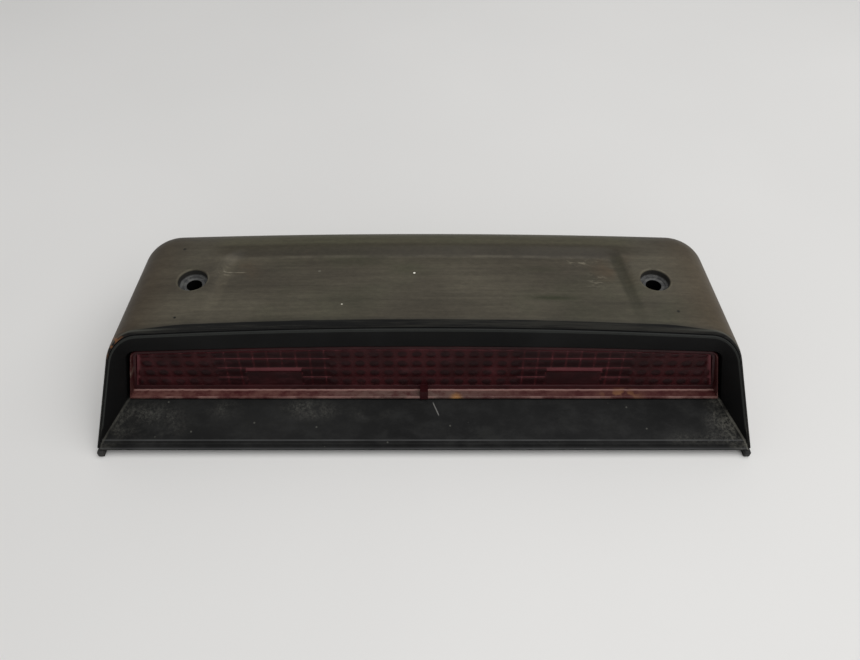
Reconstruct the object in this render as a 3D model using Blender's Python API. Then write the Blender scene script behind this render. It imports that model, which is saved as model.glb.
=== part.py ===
"""Third brake light: a hooded, surface-mounted stop lamp for the back of a car.

Lengths are in millimetres until add_mesh turns them into metres.
The hood frame has +X to the lamp's side, +Y away from the lens, +Z up, and y = 0 at the front tips.
The lamp frame is tilted back by LENS_TILT: x, depth behind the lens face, height up the lens face.
"""

import math

import bmesh
import bpy
from mathutils import Vector

MM = 0.001
GAP = 0.3

# Hood: plan, height and wall
HALF_WIDTH = 140.6
REAR_Y = 102.2
CORNER_R = 24.0
TAPER = 0.0005
BASE_Z = 3.5
TOP_Z = 51.2
TOP_FRONT_Y = 31.0
TOP_FALL = 0.015
CROWN_R = 2600.0
RISE = 47.0
FILLET_R = 14.0
DRAFT = math.radians(11.5)
FRONT_SLOPE = 1.645
WALL = 2.2
LIP_WALL, LIP_DEPTH = 1.2, 3.6
WALL_STEPS, FILLET_STEPS, DISH_STEPS, INNER_STEPS = 2, 6, 3, 3
SIDE_STEPS, CORNER_STEPS, BACK_STEPS = 3, 6, 4

# Shallow dish in the hood's top: (half width, rear y, corner radius, taper) at its outer and inner edge
DISH_OUTER = (99.5, 79.5, 12.0, 0.00122)
DISH_INNER = (93.5, 73.0, 8.0, 0.00122)
DISH_DEPTH = 2.6
DISH_FADE_Y = (36.0, 72.0)

# Mounting screws' bosses
SCREW_X, SCREW_Y = 100.1, 58.8
COUNTERBORE_R, SEAT_Z, SCREW_HOLE_R = 6.3, 45.4, 3.25
BOSS_R = 7.6
BOSS_SEAL_R = 7.2

# Lamp frame and lens
LENS_TILT = math.radians(9.5)
LENS_Y, LENS_Z = 26.3, 15.0
LENS_HEIGHT = 22.6
LENS_SIDE = 126.8
LENS_DRAFT = math.radians(11.7)
LENS_TAB = 1.7
LENS_CROWN_R = 2700.0
BOTTOM_STEPS = 16

# Lamp body, in lamp-frame depths
BODY_FRONT, TRAY_BACK, POD_BACK = 9.8, 21.0, 34.0
BODY_WALL = 2.0
TRAY_SIDE, POD_SIDE = 126.0, 90.5

# Bulb holders
HOLDER_X, HOLDER_V = 64.4, 9.6
HOLE_R, HOLDER_R = 7.3, 6.8
TAB_R, TAB_HALF_WIDTH, TAB_THICK = 8.5, 1.8, 1.5
LOCKED_DEG, UNLOCKED_DEG = 67.5, 112.5
BOOT_END = 54.0

# Screws that hold the lamp body to the bezel: (x, height up the lens face)
LAMP_SCREWS = ((-30.0, 28.8), (30.0, 28.8), (-100.0, -9.4), (100.0, -9.4))
LAMP_BOSS_R, SCREW_R, PILOT_R = 3.1, 1.4, 1.7
SCREW_HEAD_R, SCREW_HEAD_H = 2.8, 1.9

# Connector header
HEADER_Y, HEADER_SIZE = 85.0, (22.0, 14.0)
HEADER_Z = (3.2, 21.0)
SOCKET_SIZE, SOCKET_TOP_Z = (17.0, 9.6), 13.4
PIN_X, PIN_SIZE = 3.6, (0.8, 2.8)
LEAD_R = 2.1
LEAD_Z = 17.2


def clear_scene():
    for obj in list(bpy.data.objects):
        bpy.data.objects.remove(obj)


# ---------------------------------------------------------------- materials
def material(name, colour, roughness, metallic=0.0, alpha=1.0):
    made = bpy.data.materials.new(name)
    made.use_nodes = True
    shader = made.node_tree.nodes["Principled BSDF"]
    shader.inputs["Base Color"].default_value = (*colour, 1.0)
    shader.inputs["Roughness"].default_value = roughness
    shader.inputs["Metallic"].default_value = metallic
    shader.inputs["Alpha"].default_value = alpha
    made.diffuse_color = (*colour, alpha)
    return made


# ---------------------------------------------------------------- objects
def empty(name, location, tilt=0.0, parent=None):
    made = bpy.data.objects.new(name, None)
    bpy.context.scene.collection.objects.link(made)
    made.parent = parent
    made.location = Vector(location) * MM
    made.rotation_euler = (tilt, 0.0, 0.0)
    return made


def add_mesh(name, points, faces, finish, parent, smooth_deg=35.0):
    """A closed object from points in millimetres, with doubled points merged and faces pointing out."""
    mesh = bpy.data.meshes.new(name)
    mesh.from_pydata([Vector(p) * MM for p in points], [], faces)
    work = bmesh.new()
    work.from_mesh(mesh)
    bmesh.ops.remove_doubles(work, verts=work.verts, dist=2e-6)
    bmesh.ops.recalc_face_normals(work, faces=work.faces)
    work.to_mesh(mesh)
    work.free()
    mesh.shade_smooth()
    mesh.set_sharp_from_angle(angle=math.radians(smooth_deg))
    made = bpy.data.objects.new(name, mesh)
    bpy.context.scene.collection.objects.link(made)
    made.parent = parent
    if finish:
        mesh.materials.append(finish)
    return made


def helper(obj):
    """A cutter or a piece that another object's Boolean takes in."""
    obj.hide_render = True
    obj.display_type = "WIRE"
    return obj


def combine(target, others, operation):
    for other in others:
        step = target.modifiers.new(f"{operation.lower()}_{other.name}", "BOOLEAN")
        step.operation = operation
        step.solver = "EXACT"
        step.object = helper(other)
    return target


def box_points(low, high):
    return [(x, y, z) for x in (low[0], high[0]) for y in (low[1], high[1]) for z in (low[2], high[2])]


BOX_FACES = [(0, 1, 3, 2), (4, 6, 7, 5), (0, 4, 5, 1), (2, 3, 7, 6), (0, 2, 6, 4), (1, 5, 7, 3)]


def add_box(name, low, high, finish, parent):
    return add_mesh(name, box_points(low, high), BOX_FACES, finish, parent)


def lathe(name, profile, finish, parent, closed=False, steps=28):
    """Turns (radius, height) points round the local Z axis. A closed profile makes a ring."""
    points, faces = [], []
    for k in range(steps):
        turn = 2 * math.pi * k / steps
        points += [(r * math.cos(turn), r * math.sin(turn), h) for r, h in profile]
    count = len(profile)
    for k in range(steps):
        here, after = k * count, (k + 1) % steps * count
        for i in range(count if closed else count - 1):
            j = (i + 1) % count
            faces.append((here + i, after + i, after + j, here + j))
    return add_mesh(name, points, faces, finish, parent)


def cylinder(name, radius, low, high, parent, finish=None, steps=28):
    return lathe(name, [(0, low), (radius, low), (radius, high), (0, high)], finish, parent, steps=steps)


def loft(rings, closed=False, caps=False):
    """Faces between rings of equal length; closed joins the last ring to the first."""
    count = len(rings[0])
    points = [p for ring in rings for p in ring]
    faces = []
    for k in range(len(rings) if closed else len(rings) - 1):
        here, after = k * count, (k + 1) % len(rings) * count
        for i in range(count):
            j = (i + 1) % count
            faces.append((here + i, here + j, after + j, after + i))
    if caps:
        faces.append(tuple(range(count)))
        faces.append(tuple(range(len(points) - count, len(points))))
    return points, faces


# ---------------------------------------------------------------- hood surface
def ease(share):
    share = min(max(share, 0.0), 1.0)
    return share * share * (3 - 2 * share)


def top_height(x, y):
    """The hood's top before the dish: crowned across, and falling a little to the rear."""
    return TOP_Z - TOP_FALL * (y - TOP_FRONT_Y) - x * x / (2 * CROWN_R)


def dish_depth(share, y):
    fade = (y - DISH_FADE_Y[0]) / (DISH_FADE_Y[1] - DISH_FADE_Y[0])
    return DISH_DEPTH * ease(share) * min(max(fade, 0.0), 1.0)


def mix(a, b, share):
    return tuple(p + (q - p) * share for p, q in zip(a, b))


def hood_rows(inside):
    """U-shaped lines round the hood, from its lower edge to its middle, `inside` below the outer surface.

    Each is (half width at y = 0, rear y, corner radius, taper, share of the rise, share of the dish).
    """
    outline = (HALF_WIDTH - inside, REAR_Y - inside, CORNER_R - inside)
    rise, radius = RISE - inside, FILLET_R - inside
    centre_z = rise - radius
    wall_z = centre_z + radius * math.sin(DRAFT)
    wall_inset = wall_z * math.tan(DRAFT)
    centre_inset = wall_inset + radius * math.cos(DRAFT)
    rows = []
    for k in range(WALL_STEPS + 1):
        share = k / WALL_STEPS
        rows.append((*(a - wall_inset * share for a in outline), TAPER, wall_z * share / rise, 0.0))
    for k in range(1, FILLET_STEPS + 1):
        angle = DRAFT + (math.pi / 2 - DRAFT) * k / FILLET_STEPS
        inset = centre_inset - radius * math.cos(angle)
        height = (centre_z + radius * math.sin(angle)) / rise
        rows.append((*(a - inset for a in outline), TAPER, height, 0.0))
    for k in range(DISH_STEPS + 1):
        share = k / DISH_STEPS
        rows.append((*mix(DISH_OUTER, DISH_INNER, share), 1.0, share))
    for k in range(1, INNER_STEPS + 1):
        rows.append((*mix(DISH_INNER, (0.0, 50.0, 0.0, TAPER), k / INNER_STEPS), 1.0, 1.0))
    return rows


def row_height(row, x, y, inside):
    rise = top_height(x, y) - inside - BASE_Z
    return BASE_Z + row[4] * rise - dish_depth(row[5], y)


def front_point(row, inside):
    """Where a row meets the slanted plane of the hood's open front."""
    y = 0.0
    for _ in range(20):
        x = row[0] * (1 - row[3] * y)
        y = row_height(row, x, y, inside) / FRONT_SLOPE
    return x, y, row_height(row, x, y, inside)


def plan_line(half_width, rear, radius, taper, front_y, edge=()):
    """The plan of a U from its front right end round the rear to its front left end.

    edge lists distances behind the front where each side gets a point of its own.
    """
    lean = math.atan(half_width * taper)
    arc_y = rear - radius
    side_y = arc_y + radius * math.sin(lean)
    arc_x = half_width * (1 - taper * side_y) - radius * math.cos(lean)
    sides = [(side_y - front_y) * k / SIDE_STEPS for k in range(SIDE_STEPS)]
    places = [front_y + step for step in sides[:1] + list(edge) + sides[1:]]
    right = [(half_width * (1 - taper * y), y) for y in places]
    for k in range(CORNER_STEPS + 1):
        angle = lean + (math.pi / 2 - lean) * k / CORNER_STEPS
        right.append((arc_x + radius * math.cos(angle), arc_y + radius * math.sin(angle)))
    right += [(arc_x * (1 - k / BACK_STEPS), rear) for k in range(1, BACK_STEPS + 1)]
    return right + [(-x, y) for x, y in reversed(right[:-1])]


def hood_grid(inside, edge=()):
    grid = []
    for row in hood_rows(inside):
        front_y = front_point(row, inside)[1]
        line = plan_line(*row[:4], front_y, edge)
        grid.append([(x, y, row_height(row, x, y, inside)) for x, y in line])
    return grid


def hood_lining():
    """The hood's inner surface, with a rabbet along the open front where the wall is only LIP_WALL thick."""
    grid = []
    for lip, row in zip(hood_rows(LIP_WALL), hood_rows(WALL)):
        front_y = front_point(lip, LIP_WALL)[1]
        back_y = front_y + LIP_DEPTH
        rabbet = []
        for y in (front_y, back_y):
            x = lip[0] * (1 - lip[3] * y)
            rabbet.append((x, y, row_height(lip, x, y, LIP_WALL)))
        line = [(x, y, row_height(row, x, y, WALL)) for x, y in plan_line(*row[:4], back_y)]
        grid.append(rabbet + line + [(-x, y, z) for x, y, z in reversed(rabbet)])
    return grid


def grid_faces(rows, columns, start=0):
    return [
        (start + i * columns + j, start + i * columns + j + 1, start + (i + 1) * columns + j + 1,
         start + (i + 1) * columns + j)
        for i in range(rows - 1) for j in range(columns - 1)
    ]


def shell_mesh(outer, inner):
    """Two grids joined along their first row and along both ends of every row."""
    rows, columns = len(outer), len(outer[0])
    points = [p for grid in (outer, inner) for row in grid for p in row]
    far = rows * columns
    faces = grid_faces(rows, columns) + grid_faces(rows, columns, far)
    faces += [(j, j + 1, far + j + 1, far + j) for j in range(columns - 1)]
    for end in (0, columns - 1):
        for i in range(rows - 1):
            a, b = i * columns + end, (i + 1) * columns + end
            faces.append((a, b, far + b, far + a))
    return points, faces


def dome_mesh(inside):
    """The hood's outline as one solid, closed across its base and its front."""
    grid = hood_grid(inside)
    rows, columns = len(grid), len(grid[0])
    points = [p for row in grid for p in row]
    faces = grid_faces(rows, columns)
    faces.append(tuple(range(columns)))
    up = [i * columns for i in range(rows)]
    down = [i * columns + columns - 1 for i in range(rows - 1)]
    faces.append(tuple(up + down[::-1]))
    return points, faces


# ---------------------------------------------------------------- lamp outlines
def lens_top(x):
    return LENS_HEIGHT - x * x / (2 * LENS_CROWN_R)


def to_hood_frame(x, depth, v):
    s, c = math.sin(LENS_TILT), math.cos(LENS_TILT)
    return x, LENS_Y + v * s + depth * c, LENS_Z + v * c - depth * s


def top_shares():
    """How far out each top row of the hood lies, as a share of the flat top's half width."""
    rows = hood_rows(0.0)[WALL_STEPS + FILLET_STEPS:]
    return [row[0] / rows[0][0] for row in rows]


def ring_of(half, bottom):
    """A closed ring from its right half, which runs bottom corner to top centre, and its bottom line."""
    left = [(-p[0], *p[1:]) for p in reversed(half[:-1])]
    return half + left + bottom


def bottom_line(side, *rest):
    return [(side * (2 * k / BOTTOM_STEPS - 1), *rest) for k in range(1, BOTTOM_STEPS)]


def lens_ring(grow, low, high, radius, depth_low, depth_top):
    """A lens-shaped ring in the lamp frame: leaning sides, straight bottom, round top corners, crowned top.

    grow is how far its sides lie outside the lens face, low the height of its bottom, and high its rise
    over the lens top.
    """
    slope = math.tan(LENS_DRAFT)
    side = LENS_SIDE + grow
    corner_v = lens_top(side - slope * LENS_HEIGHT - radius) + high - radius
    corner_x = side - slope * corner_v - radius / math.cos(LENS_DRAFT)
    half = []
    for k in range(WALL_STEPS):
        v = low + (corner_v - low) * k / WALL_STEPS
        half.append((side - slope * v, v))
    for k in range(FILLET_STEPS + 1):
        angle = LENS_DRAFT + (math.pi / 2 - LENS_DRAFT) * k / FILLET_STEPS
        half.append((corner_x + radius * math.cos(angle), corner_v + radius * math.sin(angle)))
    half += [(corner_x * share, lens_top(corner_x * share) + high) for share in top_shares()[1:]]
    reach = LENS_HEIGHT + high - low
    placed = [(x, depth_low + (depth_top - depth_low) * (v - low) / reach, v) for x, v in half]
    return ring_of(placed, bottom_line(placed[0][0], depth_low, low))


def arch_ring(inside, low, low_y, shift):
    """A ring just inside the hood's open front: low is its lower edge's height, shift moves it along Y."""
    rows = hood_rows(inside)
    half = []
    for k, row in enumerate(rows):
        x, y, z = front_point(row, inside)
        if k < WALL_STEPS:
            top = front_point(rows[WALL_STEPS], inside)
            base = front_point(rows[0], inside)
            share = (low - base[2]) / (top[2] - base[2])
            x, y, z = mix(mix(base, top, share), top, k / WALL_STEPS)
        half.append((x * (1 - TAPER * shift), y + shift, z))
    half[0] = (half[0][0], low_y, low)
    return ring_of(half, bottom_line(half[0][0], low_y, low))


# ---------------------------------------------------------------- pieces
def make_hood(base, finish):
    outside = hood_grid(0.0, (LIP_DEPTH / 2, LIP_DEPTH + 1))
    hood = add_mesh("hood", *shell_mesh(outside, hood_lining()), finish, base)
    inner = add_mesh("hood_inner_works", *dome_mesh(WALL / 2), None, base)
    blanks = []
    for side in (-1, 1):
        seat = empty(f"boss_axis_{side}", (side * SCREW_X, SCREW_Y, 0), parent=base)
        blanks.append(cylinder(f"boss_{side}", BOSS_R, 0.0, TOP_Z + 4, seat, steps=36))
        x = side * SCREW_X
        left, right = sorted((x, side * HALF_WIDTH))
        hook = side * 40
        for name, low, high in (
            ("back_rib", (x - 0.8, SCREW_Y, 14), (x + 0.8, REAR_Y, TOP_Z)),
            ("end_rib", (left, SCREW_Y - 0.8, 14), (right, SCREW_Y + 0.8, TOP_Z)),
            ("lead_hook", (hook - 1.2, 90.5, 10), (hook + 1.2, REAR_Y, 24)),
        ):
            blanks.append(add_box(f"{name}_{side}", low, high, None, base))
    back = HEADER_Y + HEADER_SIZE[1] / 2
    blanks.append(add_box("header_shelf", (-7, back + GAP, 8), (7, REAR_Y, 18), None, base))
    works = combine(blanks[0], blanks[1:], "UNION")
    combine(inner, [works], "INTERSECT")
    combine(hood, [inner], "UNION")
    cutters = []
    for side in (-1, 1):
        axis = bpy.data.objects[f"boss_axis_{side}"]
        cutters.append(cylinder(f"counterbore_{side}", COUNTERBORE_R, SEAT_Z, TOP_Z + 10, axis, steps=36))
        cutters.append(cylinder(f"screw_bore_{side}", SCREW_HOLE_R, -5, TOP_Z, axis, steps=36))
        slot = add_box(f"lead_slot_{side}", (side * 40 - 5, 88, LEAD_Z - 2.6),
                       (side * 40 + 5, 93.6, LEAD_Z + 2.6), None, base)
        cutters.append(slot)
    return combine(hood, cutters, "DIFFERENCE")


def make_bezel(base, lamp, finish):
    front = arch_ring(LIP_WALL + GAP, BASE_Z, 1.1, -0.5)
    rim = arch_ring(LIP_WALL + GAP + 0.6, 6.0, 4.7, -0.55)
    back = arch_ring(LIP_WALL + GAP, BASE_Z, 5.2, 2.6)
    flange = arch_ring(WALL + GAP + 0.2, BASE_Z + 0.8, 5.6, 2.7)
    window = [to_hood_frame(*p) for p in lens_ring(2.4, -4.3, 2.0, 4.8, -3.3, -1.5)]
    sleeve = [to_hood_frame(*p) for p in lens_ring(2.4, -4.3, 2.0, 4.8, 5.4, 5.4)]
    sleeve_out = [to_hood_frame(*p) for p in lens_ring(3.6, -5.8, 3.4, 6.0, 5.4, 5.4)]
    neck = [to_hood_frame(*p) for p in lens_ring(3.7, -5.9, 3.5, 6.0, -1.2, 0.6)]
    rings = [front, rim, window, sleeve, sleeve_out, neck, flange, back]
    bezel = add_mesh("bezel", *loft(rings, closed=True), finish, base)
    bosses, pilots = [], []
    for n, (x, v) in enumerate(LAMP_SCREWS):
        axis = empty(f"lamp_screw_axis_{n + 1}", (x, 0, v), -math.pi / 2, lamp)
        root = -0.6 if v > 0 else -5.5
        bosses.append(cylinder(f"lamp_boss_{n}", LAMP_BOSS_R, root, BODY_FRONT - GAP, axis, steps=20))
        pilots.append(cylinder(f"pilot_{n}", PILOT_R, 1.5, BODY_FRONT + 4, axis, steps=16))
    combine(bezel, bosses, "UNION")
    return combine(bezel, pilots, "DIFFERENCE")


def make_lens(lamp, finish):
    rings = [
        lens_ring(0.0, 0.0, 0.0, 3.0, 0.0, 0.0),
        lens_ring(0.5, -2.4, 0.4, 3.5, -3.9, -0.8),
        lens_ring(1.1, -3.7, 1.2, 4.0, -3.6, -0.5),
        lens_ring(1.1, -3.7, 1.2, 4.0, 6.0, 6.0),
        lens_ring(3.6, -6.0, 3.0, 5.5, 6.0, 6.0),
        lens_ring(3.6, -6.0, 3.0, 5.5, 8.0, 8.0),
        lens_ring(-0.8, -1.9, -0.7, 3.0, 8.0, 8.0),
        lens_ring(-0.8, -1.9, -0.7, 3.0, 2.2, 2.2),
    ]
    lens = add_mesh("lens", *loft(rings, caps=True), finish, lamp)
    tab = add_box("lens_tab", (-LENS_TAB, -4.2, -3.4), (LENS_TAB, 0.8, 1.0), None, lamp)
    return combine(lens, [tab], "UNION")


def make_lens_gasket(lamp, finish):
    near, far = 8.0 + GAP, BODY_FRONT - GAP
    rings = [
        lens_ring(3.2, -5.6, 2.6, 5.2, near, near),
        lens_ring(3.2, -5.6, 2.6, 5.2, far, far),
        lens_ring(0.0, -2.8, 0.2, 3.0, far, far),
        lens_ring(0.0, -2.8, 0.2, 3.0, near, near),
    ]
    return add_mesh("lens_gasket", *loft(rings, closed=True), finish, lamp)


def key_profile(radius, tab_radius, half_width, turn_deg):
    """A circle with three tabs or notches at 120 degrees, turned by turn_deg."""
    half_angle = math.asin(half_width / tab_radius)
    points = []
    for tab in range(3):
        middle = math.radians(turn_deg) + tab * 2 * math.pi / 3
        start = middle + math.asin(half_width / radius)
        points += [(tab_radius, middle - half_angle), (tab_radius, middle), (tab_radius, middle + half_angle)]
        end = start + 2 * math.pi / 3 - 2 * math.asin(half_width / radius)
        points += [(radius, start + (end - start) * k / 9) for k in range(10)]
    return [(r * math.cos(a), r * math.sin(a)) for r, a in points]


def prism(name, outline, low, high, parent, finish=None):
    rings = [[(x, y, z) for x, y in outline] for z in (low, high)]
    return add_mesh(name, *loft(rings, caps=True), finish, parent)


def make_lamp_body(lamp, holder_axes, finish):
    """A tray behind the lens, deeper between the mounting bosses, with a keyed hole for each bulb holder."""
    def tray(name, side, low, high, near, far):
        rings = [lens_ring(side - LENS_SIDE, low, high, 3.0, depth, depth) for depth in (near, far)]
        return add_mesh(name, *loft(rings, caps=True), None, lamp)

    body = tray("lamp_body", LENS_SIDE + 3.4, -5.8, 2.8, BODY_FRONT, BODY_FRONT + 2.4)
    body.data.materials.append(finish)
    solids = [
        tray("tray_outside", TRAY_SIDE, -1.6, -1.0, BODY_FRONT + 1, TRAY_BACK),
        tray("pod_outside", POD_SIDE, -1.6, -1.0, TRAY_BACK - 5, POD_BACK),
    ]
    for n, (x, v) in enumerate(LAMP_SCREWS):
        axis = bpy.data.objects[f"lamp_screw_axis_{n + 1}"]
        reach = (LAMP_BOSS_R + 0.4, 7.0)
        low, high = (-reach[0], -reach[0], BODY_FRONT), (reach[0], reach[1], BODY_FRONT + 2.4)
        if v < 0:
            low, high = (-reach[0], -reach[1], BODY_FRONT), (reach[0], reach[0], BODY_FRONT + 2.4)
        solids.append(add_box(f"ear_{n}", low, high, None, axis))
    combine(body, solids, "UNION")
    wall = BODY_WALL
    cuts = [
        tray("tray_inside", TRAY_SIDE - wall, -1.6 + wall, -1.0 - wall, BODY_FRONT - 5, TRAY_BACK - wall),
        tray("pod_inside", POD_SIDE - wall, -1.6 + wall, -1.0 - wall, TRAY_BACK - 6, POD_BACK - wall),
    ]
    notches = key_profile(HOLE_R, TAB_R + 0.5, TAB_HALF_WIDTH + 0.4, UNLOCKED_DEG)
    near, far = POD_BACK - wall - 0.5, POD_BACK + 1
    cuts += [prism(f"key_hole_{k}", notches, near, far, axis) for k, axis in enumerate(holder_axes)]
    for n in range(len(LAMP_SCREWS)):
        axis = bpy.data.objects[f"lamp_screw_axis_{n + 1}"]
        cuts.append(cylinder(f"ear_hole_{n}", PILOT_R + 0.2, BODY_FRONT - 3, BODY_FRONT + 6, axis, steps=16))
    return combine(body, cuts, "DIFFERENCE")


def reflector_ring(side, share, grow, back):
    """One line round a reflector bowl: share 0 is its wide mouth and share 1 its round bulb hole."""
    count, hole, in_x, out_x = 28, 6.3, 2.6, 112.0
    near, far, low_v = BODY_FRONT + 0.6, 28.2, 1.5
    points = []
    for k in range(count):
        angle = 2 * math.pi * (k + 0.5) / count
        c, s = math.cos(angle), math.sin(angle)
        square = max(abs(c), abs(s))
        wide = (in_x + out_x + (out_x - in_x + 2 * grow) * c / square) / 2
        high_v = lens_top(wide) - 4.6
        tall = (low_v + high_v + (high_v - low_v + 2 * grow) * s / square) / 2
        x = wide + (HOLDER_X + (hole + grow) * c - wide) * share
        v = tall + (HOLDER_V + (hole + grow) * s - tall) * share
        points.append((side * x, near + (far - near) * share ** 1.9 + back, v))
    return points


def make_reflector(name, side, lamp, finish):
    """A bowl from a wide mouth behind the lens to a round hole for the bulb."""
    steps = 6
    rings = [reflector_ring(side, k / steps, 0.0, 0.0) for k in range(steps + 1)]
    rings += [reflector_ring(side, k / steps, 0.8, 0.8) for k in range(steps, -1, -1)]
    return add_mesh(name, *loft(rings, closed=True), finish, lamp)


def make_bulb(name, axis, finish):
    """The wedge-base glass: a thin closed dome, open at the base where its wires leave."""
    outer = [(0.0, 14.0), (2.6, 14.5), (4.2, 16.0), (5.0, 18.5), (5.0, 23.5), (4.4, 27.5), (3.2, 30.5),
             (2.8, 32.0), (2.8, 41.6)]
    inner = [(1.8, 41.6), (1.8, 31.6), (3.5, 27.2), (4.1, 23.2), (4.1, 18.7), (3.4, 16.6), (2.0, 15.4),
             (0.0, 15.0)]
    return lathe(name, outer + inner, finish, axis, steps=18)


def smooth_route(points, count):
    """A Catmull-Rom curve through the points, read at `count` even places."""
    padded = [points[0], *points, points[-1]]
    route = []
    for k in range(count):
        place = k / (count - 1) * (len(points) - 1)
        n = min(int(place), len(points) - 2)
        t = place - n
        a, b, c, d = (Vector(p) for p in padded[n:n + 4])
        route.append(0.5 * (2 * b + (c - a) * t + (2 * a - 5 * b + 4 * c - d) * t ** 2
                            + (3 * b - a - 3 * c + d) * t ** 3))
    return route


def sweep(name, route, radius, sides, finish, parent):
    """A round bar along a route, with square-cut ends."""
    route = [Vector(p) for p in route]
    rings, across = [], Vector((0.0, 1.0, 0.0))
    for k, place in enumerate(route):
        ahead = (route[min(k + 1, len(route) - 1)] - route[max(k - 1, 0)]).normalized()
        across = (across - ahead * across.dot(ahead)).normalized()
        up = ahead.cross(across)
        turns = [2 * math.pi * n / sides for n in range(sides)]
        rings.append([place + (across * math.cos(t) + up * math.sin(t)) * radius for t in turns])
    return add_mesh(name, *loft(rings, caps=True), finish, parent)


def make_filament(name, axis, finish):
    """One wire: up a post, through a coiled filament, and down the other post."""
    turns, per_turn, coil_r, reach, top = 5, 6, 0.6, 1.9, 19.6
    post = [(-0.9, 0.0, 41.2), (-0.9, 0.0, 32.0), (-reach, 0.0, 27.5), (-reach, 0.0, top + 1.6)]
    coil = []
    for k in range(turns * per_turn + 1):
        turn = math.pi + 2 * math.pi * k / per_turn
        x = -reach + 2 * reach * k / (turns * per_turn)
        coil.append((x, coil_r * math.sin(turn), top - coil_r * math.cos(turn)))
    return sweep(name, post + coil + [(-x, y, z) for x, y, z in reversed(post)], 0.2, 4, finish, axis)


def make_holder(name, axis, finish):
    """A twist-lock bulb holder: keyed nose, sealing flange, finger grip and cable boot."""
    nose = POD_BACK - BODY_WALL - GAP - TAB_THICK
    floor, cavity_r = 42.6, 4.6
    profile = [(0.0, floor), (cavity_r, floor), (cavity_r, nose), (HOLDER_R, nose), (HOLDER_R, 35.6),
               (9.6, 35.6), (9.6, 37.4), (7.6, 37.4), (7.2, 43.6), (4.6, 46.5), (3.6, 48.0),
               (3.0, BOOT_END), (0.0, BOOT_END)]
    holder = lathe(name, profile, finish, axis, steps=24)
    extras = []
    for k in range(3):
        turn = empty(f"{name}_tab_axis_{k}", (0, 0, 0), parent=axis)
        turn.rotation_euler = (0, 0, math.radians(LOCKED_DEG + 120 * k))
        low, high = (HOLDER_R - 1.2, -TAB_HALF_WIDTH, nose), (TAB_R, TAB_HALF_WIDTH, nose + TAB_THICK)
        extras.append(add_box(f"{name}_tab_{k}", low, high, None, turn))
    extras.append(add_box(f"{name}_grip_low", (-9.2, -1.4, 37.0), (-5.4, 1.4, 46.0), None, axis))
    extras.append(add_box(f"{name}_grip_high", (5.4, -1.4, 37.0), (9.2, 1.4, 46.0), None, axis))
    return combine(holder, extras, "UNION")


def make_base_seal(base, finish):
    """A rubber strip under the hood's side and rear walls; its two ends are the small front feet."""
    outer = plan_line(HALF_WIDTH - 0.6, REAR_Y - 0.6, CORNER_R - 0.6, TAPER, 0.0)
    inner = plan_line(HALF_WIDTH - 3.4, REAR_Y - 3.4, CORNER_R - 3.4, TAPER, 0.0)
    high = BASE_Z - GAP
    rings = [[(*a, 0.0), (*a, high), (*b, high), (*b, 0.0)] for a, b in zip(outer, inner)]
    return add_mesh("base_seal", *loft(rings, caps=True), finish, base)


def make_header(base, finish):
    """The lamp's connector: an open-bottomed shroud that a car's plug pushes into from below."""
    wide, deep = (size / 2 for size in HEADER_SIZE)
    low, high = (-wide, HEADER_Y - deep, HEADER_Z[0]), (wide, HEADER_Y + deep, HEADER_Z[1])
    header = add_box("connector_header", low, high, finish, base)
    wide, deep = (size / 2 for size in SOCKET_SIZE)
    low, high = (-wide, HEADER_Y - deep, -5), (wide, HEADER_Y + deep, SOCKET_TOP_Z)
    socket = add_box("socket", low, high, None, base)
    return combine(header, [socket], "DIFFERENCE")


def make_pin(name, x, base, finish):
    wide, deep = (size / 2 for size in PIN_SIZE)
    low, high = (x - wide, HEADER_Y - deep, 5.0), (x + wide, HEADER_Y + deep, SOCKET_TOP_Z - GAP)
    return add_box(name, low, high, finish, base)


def make_lead(name, side, base, finish):
    """The sheathed two-core lead from a bulb holder's boot to the connector header."""
    start = to_hood_frame(HOLDER_X, BOOT_END + 2 * GAP, HOLDER_V)
    ahead = to_hood_frame(HOLDER_X, BOOT_END + 4.0, HOLDER_V)
    route = [start, ahead, (60.5, 89.2, 16.4), (53.0, 91.2, 17.0), (40.0, 91.0, LEAD_Z), (26.0, 88.0, LEAD_Z),
             (17.0, 85.4, LEAD_Z), (HEADER_SIZE[0] / 2 + GAP, HEADER_Y, LEAD_Z)]
    places = smooth_route(route, 18)
    return sweep(name, [(side * p.x, p.y, p.z) for p in places], LEAD_R, 8, finish, base)


def make_lamp_screw(number, finish):
    axis = bpy.data.objects[f"lamp_screw_axis_{number}"]
    under_head = BODY_FRONT + 2.4 + GAP
    top = under_head + SCREW_HEAD_H
    profile = [(0, 2.2), (SCREW_R * 0.4, 2.2), (SCREW_R, 4.0), (SCREW_R, under_head),
               (SCREW_HEAD_R, under_head), (SCREW_HEAD_R, under_head + 1.0), (SCREW_HEAD_R * 0.6, top), (0, top)]
    return lathe(f"lamp_screw_{number}", profile, finish, axis, steps=16)


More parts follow.
